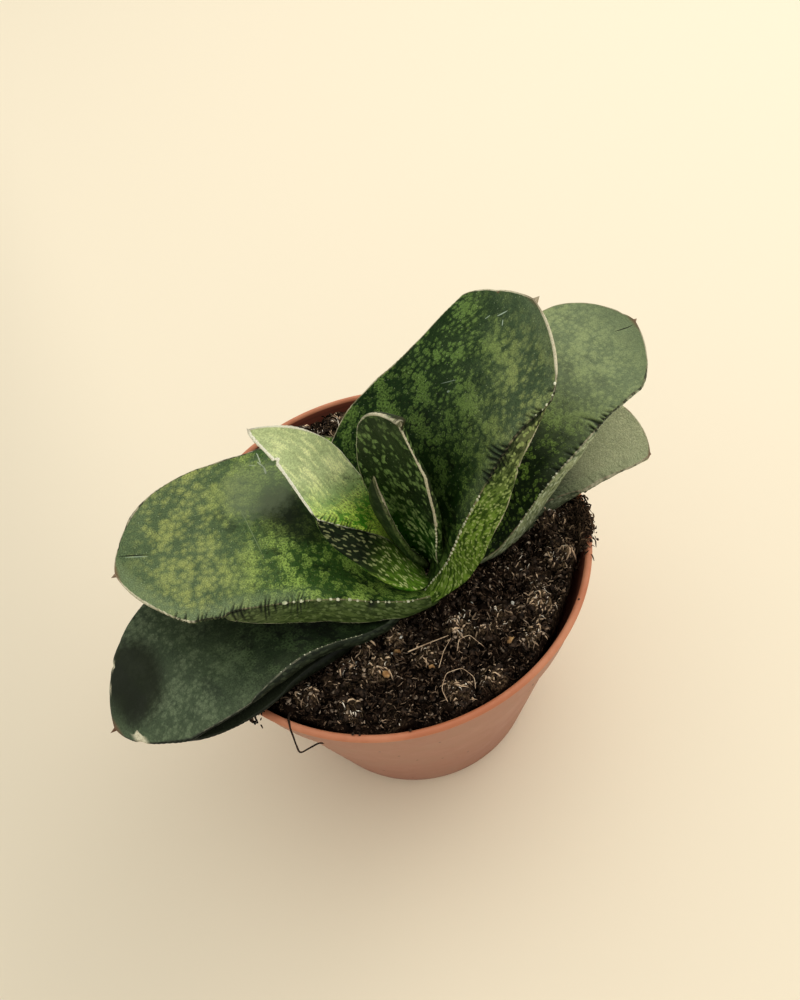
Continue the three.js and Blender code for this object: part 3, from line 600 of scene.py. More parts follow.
def leaf_sections(leaf, shares, seed):
    """Points [row, column, (across, up)] of the leaf's sections, in order round them."""
    s = np.maximum(shares, 0.0)
    base, width = leaf["base"], leaf["width"]
    swell = base + (1 - base) * np.sin(np.pi / 2 * clamp01(s / leaf["peak"]))

    def past(taper):
        return clamp01((s - taper) / (1 - taper))

    def rounding(side):
        blunt = leaf["blunt"][side]
        return (1 - past(leaf["taper"][side]) ** blunt) ** (1 / blunt)

    def wave(sizes):
        return sum(size * np.sin((k + 1) * np.pi * s) for k, size in enumerate(sizes))

    far_half = width / 2 * swell * rounding(0) + wave(leaf["far_wave"])
    near_half = width / 2 * swell * rounding(1) + wave(leaf["near_wave"])
    centre = leaf["slant"] * width * past(leaf["taper"][1]) ** 2
    flank = clamp01(1 - s / leaf["merge"]) ** leaf["flank_fade"]
    lift = leaf["cup"] * clamp01(1 - s / CUP_END) ** 1.5
    thick = leaf["thickness"] * (1 - 0.5 * s) * np.minimum(1, (far_half + near_half) / leaf["thickness"])

    far_x = centre - far_half
    keel_x = centre + near_half
    near_x = keel_x - leaf["flank_width"] * flank * swell * rounding(1)
    edge = np.minimum(0.25, 0.3 * (keel_x - far_x))

    def column(values):
        return values[:, None]

    def cup_at(x):
        half = np.where(x < column(centre), column(far_half), column(near_half))
        return column(lift) * ((x - column(centre)) / half) ** 2

    u = crowded(UPPER)[None, :]
    start = column(far_x + edge)
    x = start + (column(near_x) - start) * u
    upper = np.stack([x, cup_at(x) - SAG * column(near_half) * 4 * u * (1 - u)], -1)

    v = crowded(FLANK)[None, 1:]
    keel_y = lift - leaf["flank_depth"] * flank - EDGE
    near_y = upper[:, -1, 1]
    swelling = 4 * v * (1 - v)
    x = column(near_x) + column(keel_x - near_x) * v + swelling * column(0.25 + 0.15 * flank)
    y = column(near_y) + column(keel_y - near_y) * v + swelling * column(0.3 * flank)
    side = np.stack([x, y], -1)

    u = crowded(UNDER)[None, ::-1][:, 1:]
    x = column(far_x) + column(keel_x - far_x) * u
    x = np.maximum(x, column(far_x + edge))
    belly = column(thick) * (4 * u * (1 - u)) ** 0.7
    y = cup_at(x) - EDGE - leaf["flank_depth"] * column(flank) * u * u - belly
    under = np.stack([x, y], -1)

    turn = np.linspace(-90, 90, ROUND + 1)[None, 1:-1] * np.pi / 180
    top, bottom = column(upper[:, 0, 1]), column(under[:, -1, 1])
    x = column(far_x + edge) - column(edge) * np.cos(turn)
    y = (top + bottom) / 2 + (top - bottom) / 2 * np.sin(turn)
    far = np.stack([x, y], -1)

    points = np.concatenate([upper, side, under, far], axis=1)
    return notched(leaf, points, s, far_x, keel_x, seed)


def notched(leaf, points, s, far_x, keel_x, seed):
    """Cuts fine teeth, uneven from tooth to tooth, and single nicks into both margins."""
    run = s * leaf["length"]
    grown = clamp01((s - 0.08) / 0.1)

    def push(edge_x, amount, root):
        points[:, :, 0] += amount[:, None] * np.exp(-np.abs(points[:, :, 0] - edge_x[:, None]) / root)

    for edge_x, outward, offset in ((far_x, -1.0, 0), (keel_x, 1.0, 40)):
        wander = 0.35 * soft_noise(run / 2.3 + offset, 0 * run, seed)
        teeth = np.abs(np.sin(np.pi * (run / TOOTH_SPACING + wander)))
        uneven = 0.6 + 0.6 * soft_noise(run / 3.1 + offset, 0 * run + 7, seed)
        slow = 0.22 * soft_noise(run / 5.0 + offset, 0 * run + 3, seed)
        push(edge_x, outward * grown * (TOOTH_DEPTH * (teeth - 1) * uneven + slow), TOOTH_ROOT)
    for margin, share, depth, half in leaf["nicks"]:
        edge_x, inward = (far_x, 1.0) if margin == "far" else (keel_x, -1.0)
        push(edge_x, inward * depth * bump(np.abs(run - share * leaf["length"]), half), NICK_ROOT)
    return points


def gathered(leaf, places, sections, s):
    """Draws the base in to the rootstock and sweeps its near side round, as leaves clasp each other."""
    half = np.abs(sections[:, :, 0]).max(axis=1, keepdims=True)
    side = sections[:, :, 0] / half
    along = np.maximum(s, 0)[:, None]
    reach = FAR_GATHER + (leaf["near_gather"] - FAR_GATHER) * (side + 1) / 2
    share = leaf["gather"] * clamp01(1 - along / reach) ** 1.5
    sweep = clamp01(1.5 * side) ** 2 * clamp01(1 - along / leaf["sweep_reach"]) ** 1.5
    for axis, centre in enumerate(ROOTSTOCK):
        places[:, :, axis] += (centre - places[:, :, axis]) * share
    return places + sweep[:, :, None] * leaf["sweep"]


def surface_normals(places):
    """Outward normals of a closed tube of points."""
    round_it = np.roll(places, -1, axis=1) - np.roll(places, 1, axis=1)
    along = np.gradient(places, axis=0)
    normal = unit(np.cross(round_it, along))
    middle = places.mean(axis=1, keepdims=True)
    outward = ((places - middle) * normal).sum()
    return normal if outward > 0 else -normal


def squareness(line, across_way):
    """How squarely the rings meet an edge: 1 along the sides, less where a blunt end closes."""
    along = unit(np.gradient(line, axis=0))
    return np.sqrt(np.maximum(1 - (along * across_way).sum(axis=1) ** 2, 0.0025))[:, None]


def ring_distances(places):
    """Distance round each ring from its first column, in millimetres."""
    steps = np.linalg.norm(np.diff(places, axis=1), axis=2)
    return np.concatenate([np.zeros((len(places), 1)), np.cumsum(steps, axis=1)], axis=1)


def crease_depths(leaf, shares, from_near, seed):
    """Depth of the creases that cross the near margin, uneven in length and depth."""
    run = np.maximum(shares, 0)[:, None] * leaf["length"]
    total = np.zeros_like(from_near)
    for k, (start, end, reach, spacing, depth) in enumerate(leaf["creases"]):
        window = (clamp01((shares - start) / 0.03) * clamp01((end - shares) / 0.03))[:, None]
        phase = (run + 0.35 * from_near) / spacing + 0.5 * soft_noise(run / 2.4, from_near / 2.5, seed + k)
        cell = np.floor(phase).astype(int)
        size, far = np.random.default_rng(seed + 50 + k).uniform(0, 1, (2, LATTICE))
        length = reach * (0.3 + 0.9 * far[cell % LATTICE] ** 1.5)
        fade = clamp01(1 - from_near / length) ** 0.6
        valley = clamp01(1 - np.abs(phase - cell - 0.5) / (0.12 + 0.34 * fade)) ** 1.1
        strong = clamp01((size[cell % LATTICE] - 0.12) / 0.4)
        total = np.maximum(total, depth * strong * window * valley * fade)
    return total


def leaf_relief(leaf, shares, across, seed):
    """Millimetres that the skin stands out: a slow unevenness."""
    run = np.maximum(shares, 0)[:, None] * leaf["length"]
    slow = RUFFLE * soft_noise(run / 11.0, across / 8.0, seed + 4)
    slow += 0.3 * RUFFLE * soft_noise(run / 3.5, across / 3.0, seed + 5)
    return slow * clamp01((shares - 0.02) / 0.1)[:, None] * clamp01((1.02 - shares) / 0.1)[:, None]


def tip_point(leaf):
    """Where the small point at the tip ends."""
    end = np.array([1.0])
    along, across, up = (way[0] for way in leaf_directions(leaf, end))
    blade_end = leaf_line(leaf, end)[0] + across * leaf["slant"] * leaf["width"]
    return blade_end + along * leaf["spine"] - up * EDGE / 2


def face_map():
    """Which face each column is on: 0 upper, 1 flank and far edge, 2 under side, and 0.5 between."""
    face = np.zeros(COLUMNS)
    face[NEAR + 1:KEEL] = 1.0
    face[NEAR] = face[KEEL] = 0.5
    face[KEEL + 1:] = 2.0
    face[FAR_LOW:] = 1.0
    return face


def leaf_shape(leaf, seed, step):
    """Places [row, column] in millimetres, and the maps that the skin's pattern follows."""
    length = leaf["length"]
    count = round(length / step)
    body = 1 - (1 - np.arange(count) / count) ** TIP_CROWDING
    shares = np.concatenate([[-leaf["tail"] / length, -0.5 * leaf["tail"] / length], body])
    sections = leaf_sections(leaf, shares, seed)
    _, across_way, up_way = leaf_directions(leaf, shares)
    line = leaf_line(leaf, shares)
    places = (
        line[:, None, :]
        + across_way[:, None, :] * sections[:, :, :1]
        + up_way[:, None, :] * sections[:, :, 1:]
    )
    places = gathered(leaf, places, sections, shares)

    rings = ring_distances(places)
    total = rings[:, -1:] + np.linalg.norm(places[:, :1] - places[:, -1:], axis=2)
    middle = rings[:, UPPER // 2: UPPER // 2 + 1]
    across = rings - middle
    past_near = rings - rings[:, NEAR:NEAR + 1]
    far_distance = np.minimum(rings, total - rings) * squareness(places[:, 0], across_way)
    near_distance = np.abs(past_near) * squareness(places[:, NEAR], across_way)
    keel_distance = np.abs(rings - rings[:, KEEL:KEEL + 1])

    from_near = np.where(past_near > 0, past_near / leaf["flank_reach"], -past_near)
    creases = crease_depths(leaf, shares, from_near, seed)
    relief = leaf_relief(leaf, shares, across, seed) - creases
    places = places + surface_normals(places) * relief[:, :, None]

    tip, last = tip_point(leaf), places[-1]
    steps = (np.arange(1, SPINE_ROWS + 1) / SPINE_ROWS) ** 0.8
    places = np.concatenate([places, [last + (tip - last) * share for share in steps]])

    def extended(values):
        return np.concatenate([values, np.repeat(values[-1:], SPINE_ROWS, axis=0)])

    maps = {
        "leaf_map": np.stack([
            extended(across),
            extended(np.repeat(shares[:, None] * length, COLUMNS, axis=1)),
            extended(np.repeat(shares[:, None], COLUMNS, axis=1)),
        ], -1),
        "leaf_edges": np.stack([extended(d) for d in (far_distance, near_distance, keel_distance)], -1),
        "leaf_face": np.repeat(face_map()[None, :], len(places), axis=0),
        "leaf_crease_shade": extended(clamp01(creases / 0.35)),
    }
    return places, maps, shares


def bead_places(leaf, places, shares, seed):
    """Where the pale beads sit on the near margin, with how large each is."""
    random = np.random.default_rng(seed)
    run = shares * leaf["length"]
    beads = []
    for start, end, spacing, radius in leaf["beads"]:
        at = start * leaf["length"]
        while at < end * leaf["length"]:
            row = min(int(np.searchsorted(run, at)), len(places) - 4)
            size = radius * random.uniform(0.72, 1.2)
            along = places[row + 3, NEAR] - places[row, NEAR]
            inward = places[row, NEAR - 3: NEAR + 4].mean(axis=0) - places[row, NEAR]
            beads.append((places[row, NEAR] + 0.6 * inward, along, size))
            at += spacing * random.uniform(0.7, 1.35)
    return beads


def build_leaf(name, step, gloss):
    leaf = {**LEAF_DEFAULTS, **DETAIL_DEFAULTS, **LEAVES[name], **DETAILS[name]}
    skin = {**SKIN_DEFAULTS, **SKINS[name]}
    seed = 11 * (1 + list(LEAVES).index(name))
    places, maps, shares = leaf_shape(leaf, seed, step)
    bm = grid_shell(places * MM)
    blade_verts = len(bm.verts)
    blade_faces = len(bm.faces)
    random = np.random.default_rng(seed)
    for place, along, size in bead_places(leaf, places, shares, seed):
        turn = Vector(along).to_track_quat("X", "Z").to_matrix().to_4x4()
        shape = Matrix.Diagonal((random.uniform(1.0, 1.5), 1.0, random.uniform(0.65, 0.9), 1.0))
        matrix = Matrix.Translation(Vector(place) * MM) @ turn @ shape
        bmesh.ops.create_icosphere(bm, subdivisions=2, radius=size * MM, matrix=matrix)
    bm.faces.ensure_lookup_table()
    for face in bm.faces[blade_faces:]:
        face.material_index = 1
    total = len(bm.verts)
    materials = [SkinShader(name, skin, gloss, seed).painted(leaf, gloss), bead_material(name)]
    piece = make_piece(name + "_blade", bm, materials, node=name)
    for key, values in maps.items():
        kept = kept_values(values)
        padded = np.zeros((total,) + kept.shape[1:])
        padded[:blade_verts] = kept
        set_attribute(piece.data, key, padded)
    return piece


SPOT_RADIUS = 0.42  # of a spot, over the size of its cell
RIM_END = 0.008  # half the share over which a rim fades at its ends
# The crease colour is painted shade in the creases.
CREASE_SHADE_COLOUR, SHADE_COLOUR, DUST_COLOUR = (0.01, 0.014, 0.009), (0.016, 0.022, 0.012), (0.46, 0.52, 0.34)
# Darker tints of a patch, of worn skin, of a pore and of the flank's streaks.
PATCH_TINT, WORN_TINT = (0.38, 0.36, 0.42), (0.55, 0.6, 0.6)
PORE_TINT, STREAK_TINT = (0.2, 0.25, 0.2), (0.22, 0.28, 0.2)


class SkinShader(Shader):
    """Waxy skin: a dark ground with clustered pale spots, a paler flank and a horny margin."""

    def __init__(self, name, skin, gloss, seed):
        super().__init__(name + "_skin", roughness=gloss, specular=skin["specular"])
        self.skin = skin
        self.across, self.along, self.share = self.parts(self.attribute("leaf_map"))
        self.edges = dict(zip(("far", "near", "keel"), self.parts(self.attribute("leaf_edges"))))
        self.face = self.attribute("leaf_face", "Fac")
        self.map = self.joined(self.plus(self.across, 7.0 * seed), self.along, float(seed))
        leaning = self.plus(self.share, self.times(self.across, skin["skew"]))
        self.tipward = self.ramp(leaning, *skin["change"])
        self.worn = self.noise(self.map, 0.9, 3.0, 0.6)
        self.fine = self.noise(self.map, 3.2, 2.0, 0.6)
        self.broad = self.noise(self.map, 0.17, 3.0, 0.55)
        warp = self.vector("SUBTRACT", self.noise(self.map, 0.8, 2.0, colour=True), (0.5, 0.5, 0.5))
        self.bent = self.vector("ADD", self.map, self.vector("SCALE", warp, 1.1))

    def ground(self):
        """The ground, with darker patches towards the root."""
        # Towards the tip the ground takes the tip look; where that is paler and greyer, it is partly painted
        # sheen.
        ground = self.mix(self.tipward, *self.skin["ground"])
        rootward = self.ramp(self.share, 0.85, 0.45, 0.15, self.skin["dark"])
        patch = self.times(self.ramp(self.broad, 0.54, 0.66), rootward)
        ground = self.mix(patch, ground, self.tinted(ground, PATCH_TINT))
        return self.mix(self.ramp(self.worn, 0.3, 0.7, 0.0, 0.3), ground, self.tinted(ground, WORN_TINT))

    def spotted(self, cluster, end):
        """How much of a spot there is, near the root (end 0) or near the tip (end 1), and its middle dot."""
        skin = self.skin
        cell, stretch, cover, soft, strength = (
            skin[key][end] for key in ("cell", "stretch", "cover", "soften", "strength")
        )
        scatter = skin["scatter"]
        scaled = self.vector("MULTIPLY", self.bent, (1 / cell, 1 / (cell * stretch), 1 / cell))
        distance, chance = self.cells(scaled, 1.0, 0.9)
        crowd = self.swing(cluster, 4.0 * (1 - 0.75 * scatter), 0.62 - 0.24 * cover)
        body = self.times(self.minus(SPOT_RADIUS, distance), 1.9)
        luck = self.swing(chance, 0.8 + 2.0 * scatter)
        total = self.plus(self.plus(crowd, body), self.plus(luck, self.swing(self.fine, 1.0 - soft)))
        spot = self.ramp(total, -0.2 + 0.5 * scatter - soft, 0.8 + 0.5 * scatter + soft)
        return self.times(spot, strength), self.ramp(distance, 0.32, 0.12)

    def spots(self):
        """Spots crowded together in clusters, and the dark pores in their middles near the root."""
        cluster = self.noise(self.map, 0.15, 2.0, 0.5)
        small, dot = self.spotted(cluster, 0)
        large, _ = self.spotted(cluster, 1)
        amount = self.mix(self.tipward, small, large)
        grain, _ = self.cells(self.map, 2.3)
        for kept in (
            self.ramp(grain, 0.15, 0.55, 1.0, 0.8), self.ramp(self.share, 1.0, 0.84, 0.1, 1.0),
            self.ramp(self.worn, 0.25, 0.6, 0.72, 1.0),
        ):
            amount = self.times(amount, kept)
        return amount, self.times(dot, self.ramp(self.share, 0.72, 0.5, 0.0, 0.75))

    def with_bloom_and_sheen(self, colour):
        """A greyish veil towards the tip and beside the near margin, partly waxy bloom and partly painted
        sheen, with pale dust, and grit with painted glints.
        """
        skin = self.skin
        tipward = self.ramp(self.share, 0.35, 0.9, 0.1, 1.0)
        # Painted sheen: the greyish veil is partly waxy bloom and partly a painted reflection of the light.
        bloom_and_sheen = self.times(self.ramp(self.broad, 0.62, 0.38, 0.35, 1.0), tipward)
        beside = self.times(self.ramp(self.edges["near"], 5.5, 1.5), self.ramp(self.share, 0.3, 0.5))
        bloom_and_sheen = self.math("MAXIMUM", bloom_and_sheen, self.times(beside, skin["beside"]))
        colour = self.mix(self.times(bloom_and_sheen, skin["veil"]), colour, skin["bloom_and_sheen"])
        speck, chance = self.cells(self.map, 0.62)
        dust = self.times(self.ramp(speck, 0.09, 0.05), self.ramp(chance, 0.62, 0.66, 0.0, skin["dust"]))
        # Painted glints: the fine grain brightens some specks of the skin as well as darkening others.
        grit_and_glints = self.ramp(self.fine, 0.32, 0.68, 1 - skin["grit_and_glints"], 1 + 0.8 * skin["grit_and_glints"])
        return self.vector("SCALE", self.mix(dust, colour, DUST_COLOUR), grit_and_glints)

    def flank(self):
        """The flank, streaked along the leaf."""
        skin = self.skin
        streaks = self.noise(self.vector("MULTIPLY", self.bent, (1.6, 0.22, 1.0)), 1.0, 3.0, 0.6)
        wide, long = skin["dash"]
        dash, luck = self.cells(self.vector("MULTIPLY", self.bent, (1 / wide, 1 / long, 1.0)))
        dashes = self.times(self.ramp(dash, 0.42, 0.22), self.ramp(luck, 0.3, 0.5, 0.0, 0.75))
        dashes = self.times(dashes, self.ramp(self.share, *skin["side_change"], 1.0, skin["dash_tip"]))
        side = self.mix(self.ramp(self.share, *skin["side_change"]), *skin["flank"])
        streaks = self.ramp(streaks, 0.38, 0.62, 0.0, skin["mottle"])
        return self.mix(dashes, self.mix(streaks, side, self.tinted(side, STREAK_TINT)), skin["dashes"])

    def marked(self, colour, mark):
        """A scratch, crack or stain; some marks are patches of painted shadow and painted sheen."""
        x, y, half_width, half_length, turn, tone, strength, ragged = mark
        cos, sin = math.cos(math.radians(turn)), math.sin(math.radians(turn))
        right, ahead = self.minus(self.across, x), self.minus(self.along, y)
        side = self.minus(self.times(right, cos), self.times(ahead, sin))
        length = self.plus(self.times(right, sin), self.times(ahead, cos))
        side = self.plus(self.over(side, half_width), self.swing(self.worn, 2.0 * ragged))
        distance = self.length(side, self.over(length, half_length))
        soft = 0.35 if min(half_width, half_length) > 1 else 0.15
        amount = self.ramp(distance, 1 + soft, 1 - soft)
        return self.mix(self.times(amount, strength), colour, tone)

    def rimmed(self, rim):
        """How much of the horny edge there is along one span of a margin."""
        margin, start, end, inner, outer, strength, dash = rim
        width = self.ramp(self.face, 0.25, 0.5, inner, outer)
        ratio = self.plus(self.over(self.edges[margin], width), self.swing(self.worn, 0.9))
        amount = self.times(self.ramp(ratio, 1.15, 0.85), strength)
        amount = self.times(amount, self.ramp(self.share, start - RIM_END, start + RIM_END))
        if end < 1:
            amount = self.times(amount, self.ramp(self.share, end + RIM_END, end - RIM_END))
        if dash:
            beat = self.noise(self.joined(self.along, start * 100, 0.0), 1 / dash, 1.0)
            amount = self.times(amount, self.ramp(beat, 0.42, 0.55, 0.12, 1.0))
        return amount

    def edged(self, colour, leaf):
        """Dark spans and horny rims along the margins, browned at the tip."""
        nearest = self.math("MINIMUM", self.edges["far"], self.edges["near"])
        thin = self.times(self.ramp(nearest, 0.26, 0.1), self.ramp(self.worn, 0.35, 0.6, 0.1, 0.8))
        colour = self.mix(thin, colour, self.skin["line"])
        for shade in leaf["shades"]:
            colour = self.mix(self.rimmed(shade), colour, SHADE_COLOUR)
        for rim in leaf["rims"]:
            horn = self.mix(self.ramp(self.fine, 0.45, 0.75, 0.0, 0.8), *self.skin["horn"])
            colour = self.mix(self.rimmed(rim), colour, horn)
        tip = self.times(self.ramp(self.share, 0.985, 0.999), self.skin["tip"])
        return self.mix(tip, colour, BROWN)

    def painted(self, leaf, gloss):
        """The finished material."""
        ground = self.ground()
        amount, pores = self.spots()
        # The spots take the tip look towards the tip; where that is greyer, it is partly painted sheen.
        spots = self.mix(self.tipward, *self.skin["spots"])
        upper = self.mix(amount, ground, spots)
        upper = self.with_bloom_and_sheen(self.mix(pores, upper, self.tinted(upper, PORE_TINT)))
        below = self.mix(self.times(amount, 0.6), ground, spots)
        colour = self.mix(self.ramp(self.face, 0.25, 0.75), upper, self.flank())
        colour = self.mix(self.ramp(self.face, 1.25, 1.75), colour, below)
        for mark in leaf["marks"]:
            colour = self.marked(colour, mark)
        # Painted shade: the creases are darkened in the colour as well as carved.
        crease_shade = self.times(self.attribute("leaf_crease_shade", "Fac"), 0.88)
        self.colour(self.edged(self.mix(crease_shade, colour, CREASE_SHADE_COLOUR), leaf))

        # sheen patches and fine relief
        self.roughness(self.ramp(self.noise(self.map, 0.25, 2.0), 0.3, 0.7, gloss - 0.06, gloss + 0.1))
        pebble = self.noise(self.map, 1.6, 3.0, 0.55)
        height = self.plus(self.times(amount, 0.35), self.plus(pebble, self.times(self.fine, 0.35)))
        self.bump(height, 0.12, self.skin["pebble"])
        return self.material


def bead_material(name):
    shader = Shader(name + "_beads", roughness=0.5, specular=0.35)
    tone = shader.noise(shader.place(), 0.8, 2.0)
    shader.colour(shader.mix(shader.ramp(tone, 0.35, 0.65), (0.42, 0.46, 0.28), (0.78, 0.76, 0.6)))
    return shader.material


# ---- pot ----

COLLAR_Z, COLLAR, COLLAR_TOP, COLLAR_STEP = 66.5, 50.3, 51.4, 1.1  # the shallow collar under the lip
DRAINS, DRAIN_RADIUS, DRAIN_RING = 6, 3.6, 25.0  # how many holes, their radius and that of their ring
DRAIN_DEPTH = 8  # of the cutter, half of it above the foot
BEVEL, SHARP = 0.22 * MM, math.radians(28)  # width of the bevels, and the edges that get one


# Colours low and high on the wall, and in the dull and bright parts of the lip; then the single ones.
# The wall's colours go from painted shade low down to painted light high up; the lip's are painted brighter,
# as lit.
WALL_SHADE_TO_LIGHT, LIP_LIT_TONES = ((0.36, 0.15, 0.1), (0.44, 0.215, 0.15)), ((0.5, 0.19, 0.1), (0.6, 0.27, 0.16))
# The inside colour is painted shade on the inner wall.
WALL_DUST, POT_INSIDE_SHADE = (0.47, 0.33, 0.25), (0.24, 0.075, 0.045)
# The groove colour is a painted shadow under the lip.
GROOVE_SHADOW_COLOUR, SPECK_COLOUR = (0.13, 0.045, 0.03), (0.05, 0.025, 0.015)


def pot_profile(pot):
    """Radius and height, in millimetres, round the wall's section: up the outside and down the inside."""
    rim, foot, height = pot.rim_radius / MM, pot.foot_radius / MM, pot.height / MM
    wall, floor, lip = pot.wall / MM, pot.floor / MM, pot.lip / MM
    return [
        (0, 0), (foot - 1.2, 0), (foot, 1.2), (COLLAR - COLLAR_STEP, COLLAR_Z), (COLLAR, COLLAR_Z + 0.9),
        (COLLAR_TOP, height - lip), (rim - 0.5, height - lip), (rim, height - lip + 0.5),
        (rim, height - 0.5), (rim - 0.5, height), (rim - lip + 0.5, height), (rim - lip, height - 0.5),
        (COLLAR - wall, COLLAR_Z + 0.9), (COLLAR - COLLAR_STEP - wall, COLLAR_Z - 0.6),
        (foot - wall + 0.3, floor + 1), (foot - wall - 0.8, floor), (0, floor),
    ]


def build_pot(pot):
    bm = bmesh.new()
    verts = [bm.verts.new((radius * MM, 0, z * MM)) for radius, z in pot_profile(pot)]
    edges = [bm.edges.new(pair) for pair in zip(verts, verts[1:])]
    bmesh.ops.spin(
        bm, geom=verts + edges, cent=(0, 0, 0), axis=(0, 0, 1), angle=2 * math.pi, steps=pot.sides,
        use_merge=True,
    )
    bmesh.ops.remove_doubles(bm, verts=bm.verts[:], dist=1e-7)
    bmesh.ops.recalc_face_normals(bm, faces=bm.faces[:])
    sharp = [e for e in bm.edges if len(e.link_faces) == 2 and e.calc_face_angle(0) > SHARP]
    bmesh.ops.bevel(
        bm, geom=sharp, offset=BEVEL, offset_type="OFFSET", segments=2, profile=0.5, affect="EDGES",
        material=-1,
    )
    piece = make_piece("pot_body", bm, [pot_material()], node="pot")
    drill_drains(piece)
    return piece


def drill_drains(piece):
    """Cuts the drain holes through the pot's floor."""
    bm = bmesh.new()
    for i in range(DRAINS):
        angle = (i + 0.5) * 2 * math.pi / DRAINS
        place = Matrix.Translation((DRAIN_RING * MM * math.cos(angle), DRAIN_RING * MM * math.sin(angle), 0))
        bmesh.ops.create_cone(
            bm, cap_ends=True, segments=32, radius1=DRAIN_RADIUS * MM, radius2=DRAIN_RADIUS * MM,
            depth=DRAIN_DEPTH * MM, matrix=place,
        )
    cutter = mesh_object("drain_cutter", bm)
    cut = piece.modifiers.new("drains", "BOOLEAN")
    cut.operation = "DIFFERENCE"
    cut.solver = "EXACT"
    cut.object = cutter
    bpy.context.view_layer.update()
    drilled = bpy.data.meshes.new_from_object(piece.evaluated_get(bpy.context.evaluated_depsgraph_get()))
    piece.modifiers.clear()
    piece.data = drilled
    bpy.data.objects.remove(cutter)


def pot_material():
    """Dusty terracotta-coloured plastic, with painted shade inside, low on the wall and in the groove, and
    painted light on the lip.
    """
    shader = Shader("terracotta_plastic", roughness=0.5, specular=0.35)
    place = shader.place()
    x, y, z = shader.parts(place)
    radius = shader.length(x, y)
    # Painted light and shade: the wall darkens towards its foot.
    wall = shader.mix(shader.ramp(z, 5, 72), *WALL_SHADE_TO_LIGHT)
    dust = shader.noise(place, 0.09, 4.0, 0.6)
    wall = shader.mix(shader.ramp(dust, 0.35, 0.7, 0.0, 0.35), wall, WALL_DUST)
    # Painted light: the lip is brighter than the wall.
    lip = shader.mix(shader.ramp(dust, 0.3, 0.7), *LIP_LIT_TONES)
    colour = shader.mix(shader.ramp(z, 77.9, 78.3), wall, lip)
    # Painted shade on the inside of the wall.
    slope = shader.minus(radius, shader.times(z, 0.196))
    inside = shader.times(shader.ramp(slope, 36.1, 35.6), shader.ramp(z, 79.6, 79.2))
    colour = shader.mix(inside, colour, POT_INSIDE_SHADE)
    # Painted shadow in the groove under the lip.
    groove_shadow = shader.times(shader.ramp(z, 77.5, 77.9), shader.ramp(z, 78.45, 78.15))
    colour = shader.mix(shader.times(groove_shadow, 0.45), colour, GROOVE_SHADOW_COLOUR)
    distance, chance = shader.cells(place, 0.28, dimensions="3D")
    speck = shader.times(shader.ramp(distance, 0.12, 0.07), shader.ramp(chance, 0.7, 0.75))
    colour = shader.mix(speck, colour, SPECK_COLOUR)
    shader.colour(colour)
    shader.roughness(shader.ramp(dust, 0.3, 0.7, 0.42, 0.6))
    shader.bump(shader.noise(place, 0.8, 3.0), 0.05, 0.3)
    return shader.material


# ---- peat ----

PEAT = {
    "level": 75.9, "edge_rise": 1.6, "fall": 2.2, "fall_from": -38, "hump": 2.0, "hump_radius": 26,
    "spill": 5.0, "spill_from": -6, "spill_radius": 13, "clods": 46, "clod_radius": (3.2, 6.4),
    "clod_height": (0.8, 2.4), "seed": 7, "sunk": 2.4, "sunk_from": 125,
}
# Loose fibrous lumps: place, radius and height in millimetres.
LUMPS = (
    (13.0, -27.3, 3.0, 2.8), (-5.5, -33.3, 3.8, 3.2), (10.6, -43.0, 3.4, 2.6), (-8.8, -27.0, 2.4, 2.6),
    (18.8, -41.8, 3.3, 2.2), (-14.7, -42.3, 3.0, 2.2), (-2.2, -26.4, 2.3, 2.2), (5.0, -32.0, 3.2, 1.7),
    (34.1, -25.2, 3.0, 1.8), (42.0, -14.0, 3.6, 2.0), (-14.2, -31.2, 2.4, 1.8), (-9.2, -19.6, 4.2, 3.4),
    (24.0, -27.0, 3.2, 1.6), (30.5, -33.0, 2.6, 1.5), (41.0, -4.0, 3.4, 2.0), (-24.0, -37.0, 2.8, 1.6),
)
PEAT_RADIUS = 48
CLOD_REACH, SPILL_REACH = 46, 44  # how far from the middle clods lie, and the mound that leans on the lip
# Rounded clumps all over: how many, smallest radius, how much larger the largest is, how rare large ones are,
# and the lowest and highest rise over the radius.
CLUMPS = ((300, 1.8, 2.4, 1, -0.35, 0.5), (4200, 0.45, 1.7, 2, -0.45, 0.75))
# Rows of the peat below its top, height and radius: from the middle of the pot's floor up along the wall.
PEAT_SIDE = ((2.1, 0.0), (2.1, 34.2), (3.3, 35.2), (30, 40.4), (60, 46.0), (70, 47.6))
LIP_INSIDE, LIP_OUTSIDE, LIP_TOP = 49.4, 52.4, 80.2  # where loose bits lie on the lip
SPILL_CLUMP, STRAY_CLUMP = (-9.5, 4.2, 49.6), (-134, 1.6, 53.0)  # angle, spread and radius of clumps over it
WALL_INSIDE = 50.1  # radius of the pot's inside at the peat's top
FIELD_HALF, FIELD_STEP = 50.0, 0.25  # the raster that the peat's heights are kept in
TOP_RINGS, SECTORS = 160, 500
FIBRE_RINGS = 4
# Dark, middle and pale tones of strands.
BROWN_TONES = ((0.003, 0.0014, 0.0008), (0.1, 0.062, 0.04), (0.8, 0.6, 0.42))
PALE_TONES = ((0.05, 0.028, 0.017), (0.52, 0.375, 0.265), (1.0, 0.92, 0.8))
EARTH_TONES = ((0.03, 0.018, 0.011), (0.16, 0.105, 0.065), (0.55, 0.4, 0.27))
TUBE_SIDES, TUBE_ROWS = 8, 40


def seeded_random(seed):
    state = seed

    def draw():
        nonlocal state
        state = (state * 1664525 + 1013904223) % 2 ** 32
        return state / 2 ** 32

    return draw


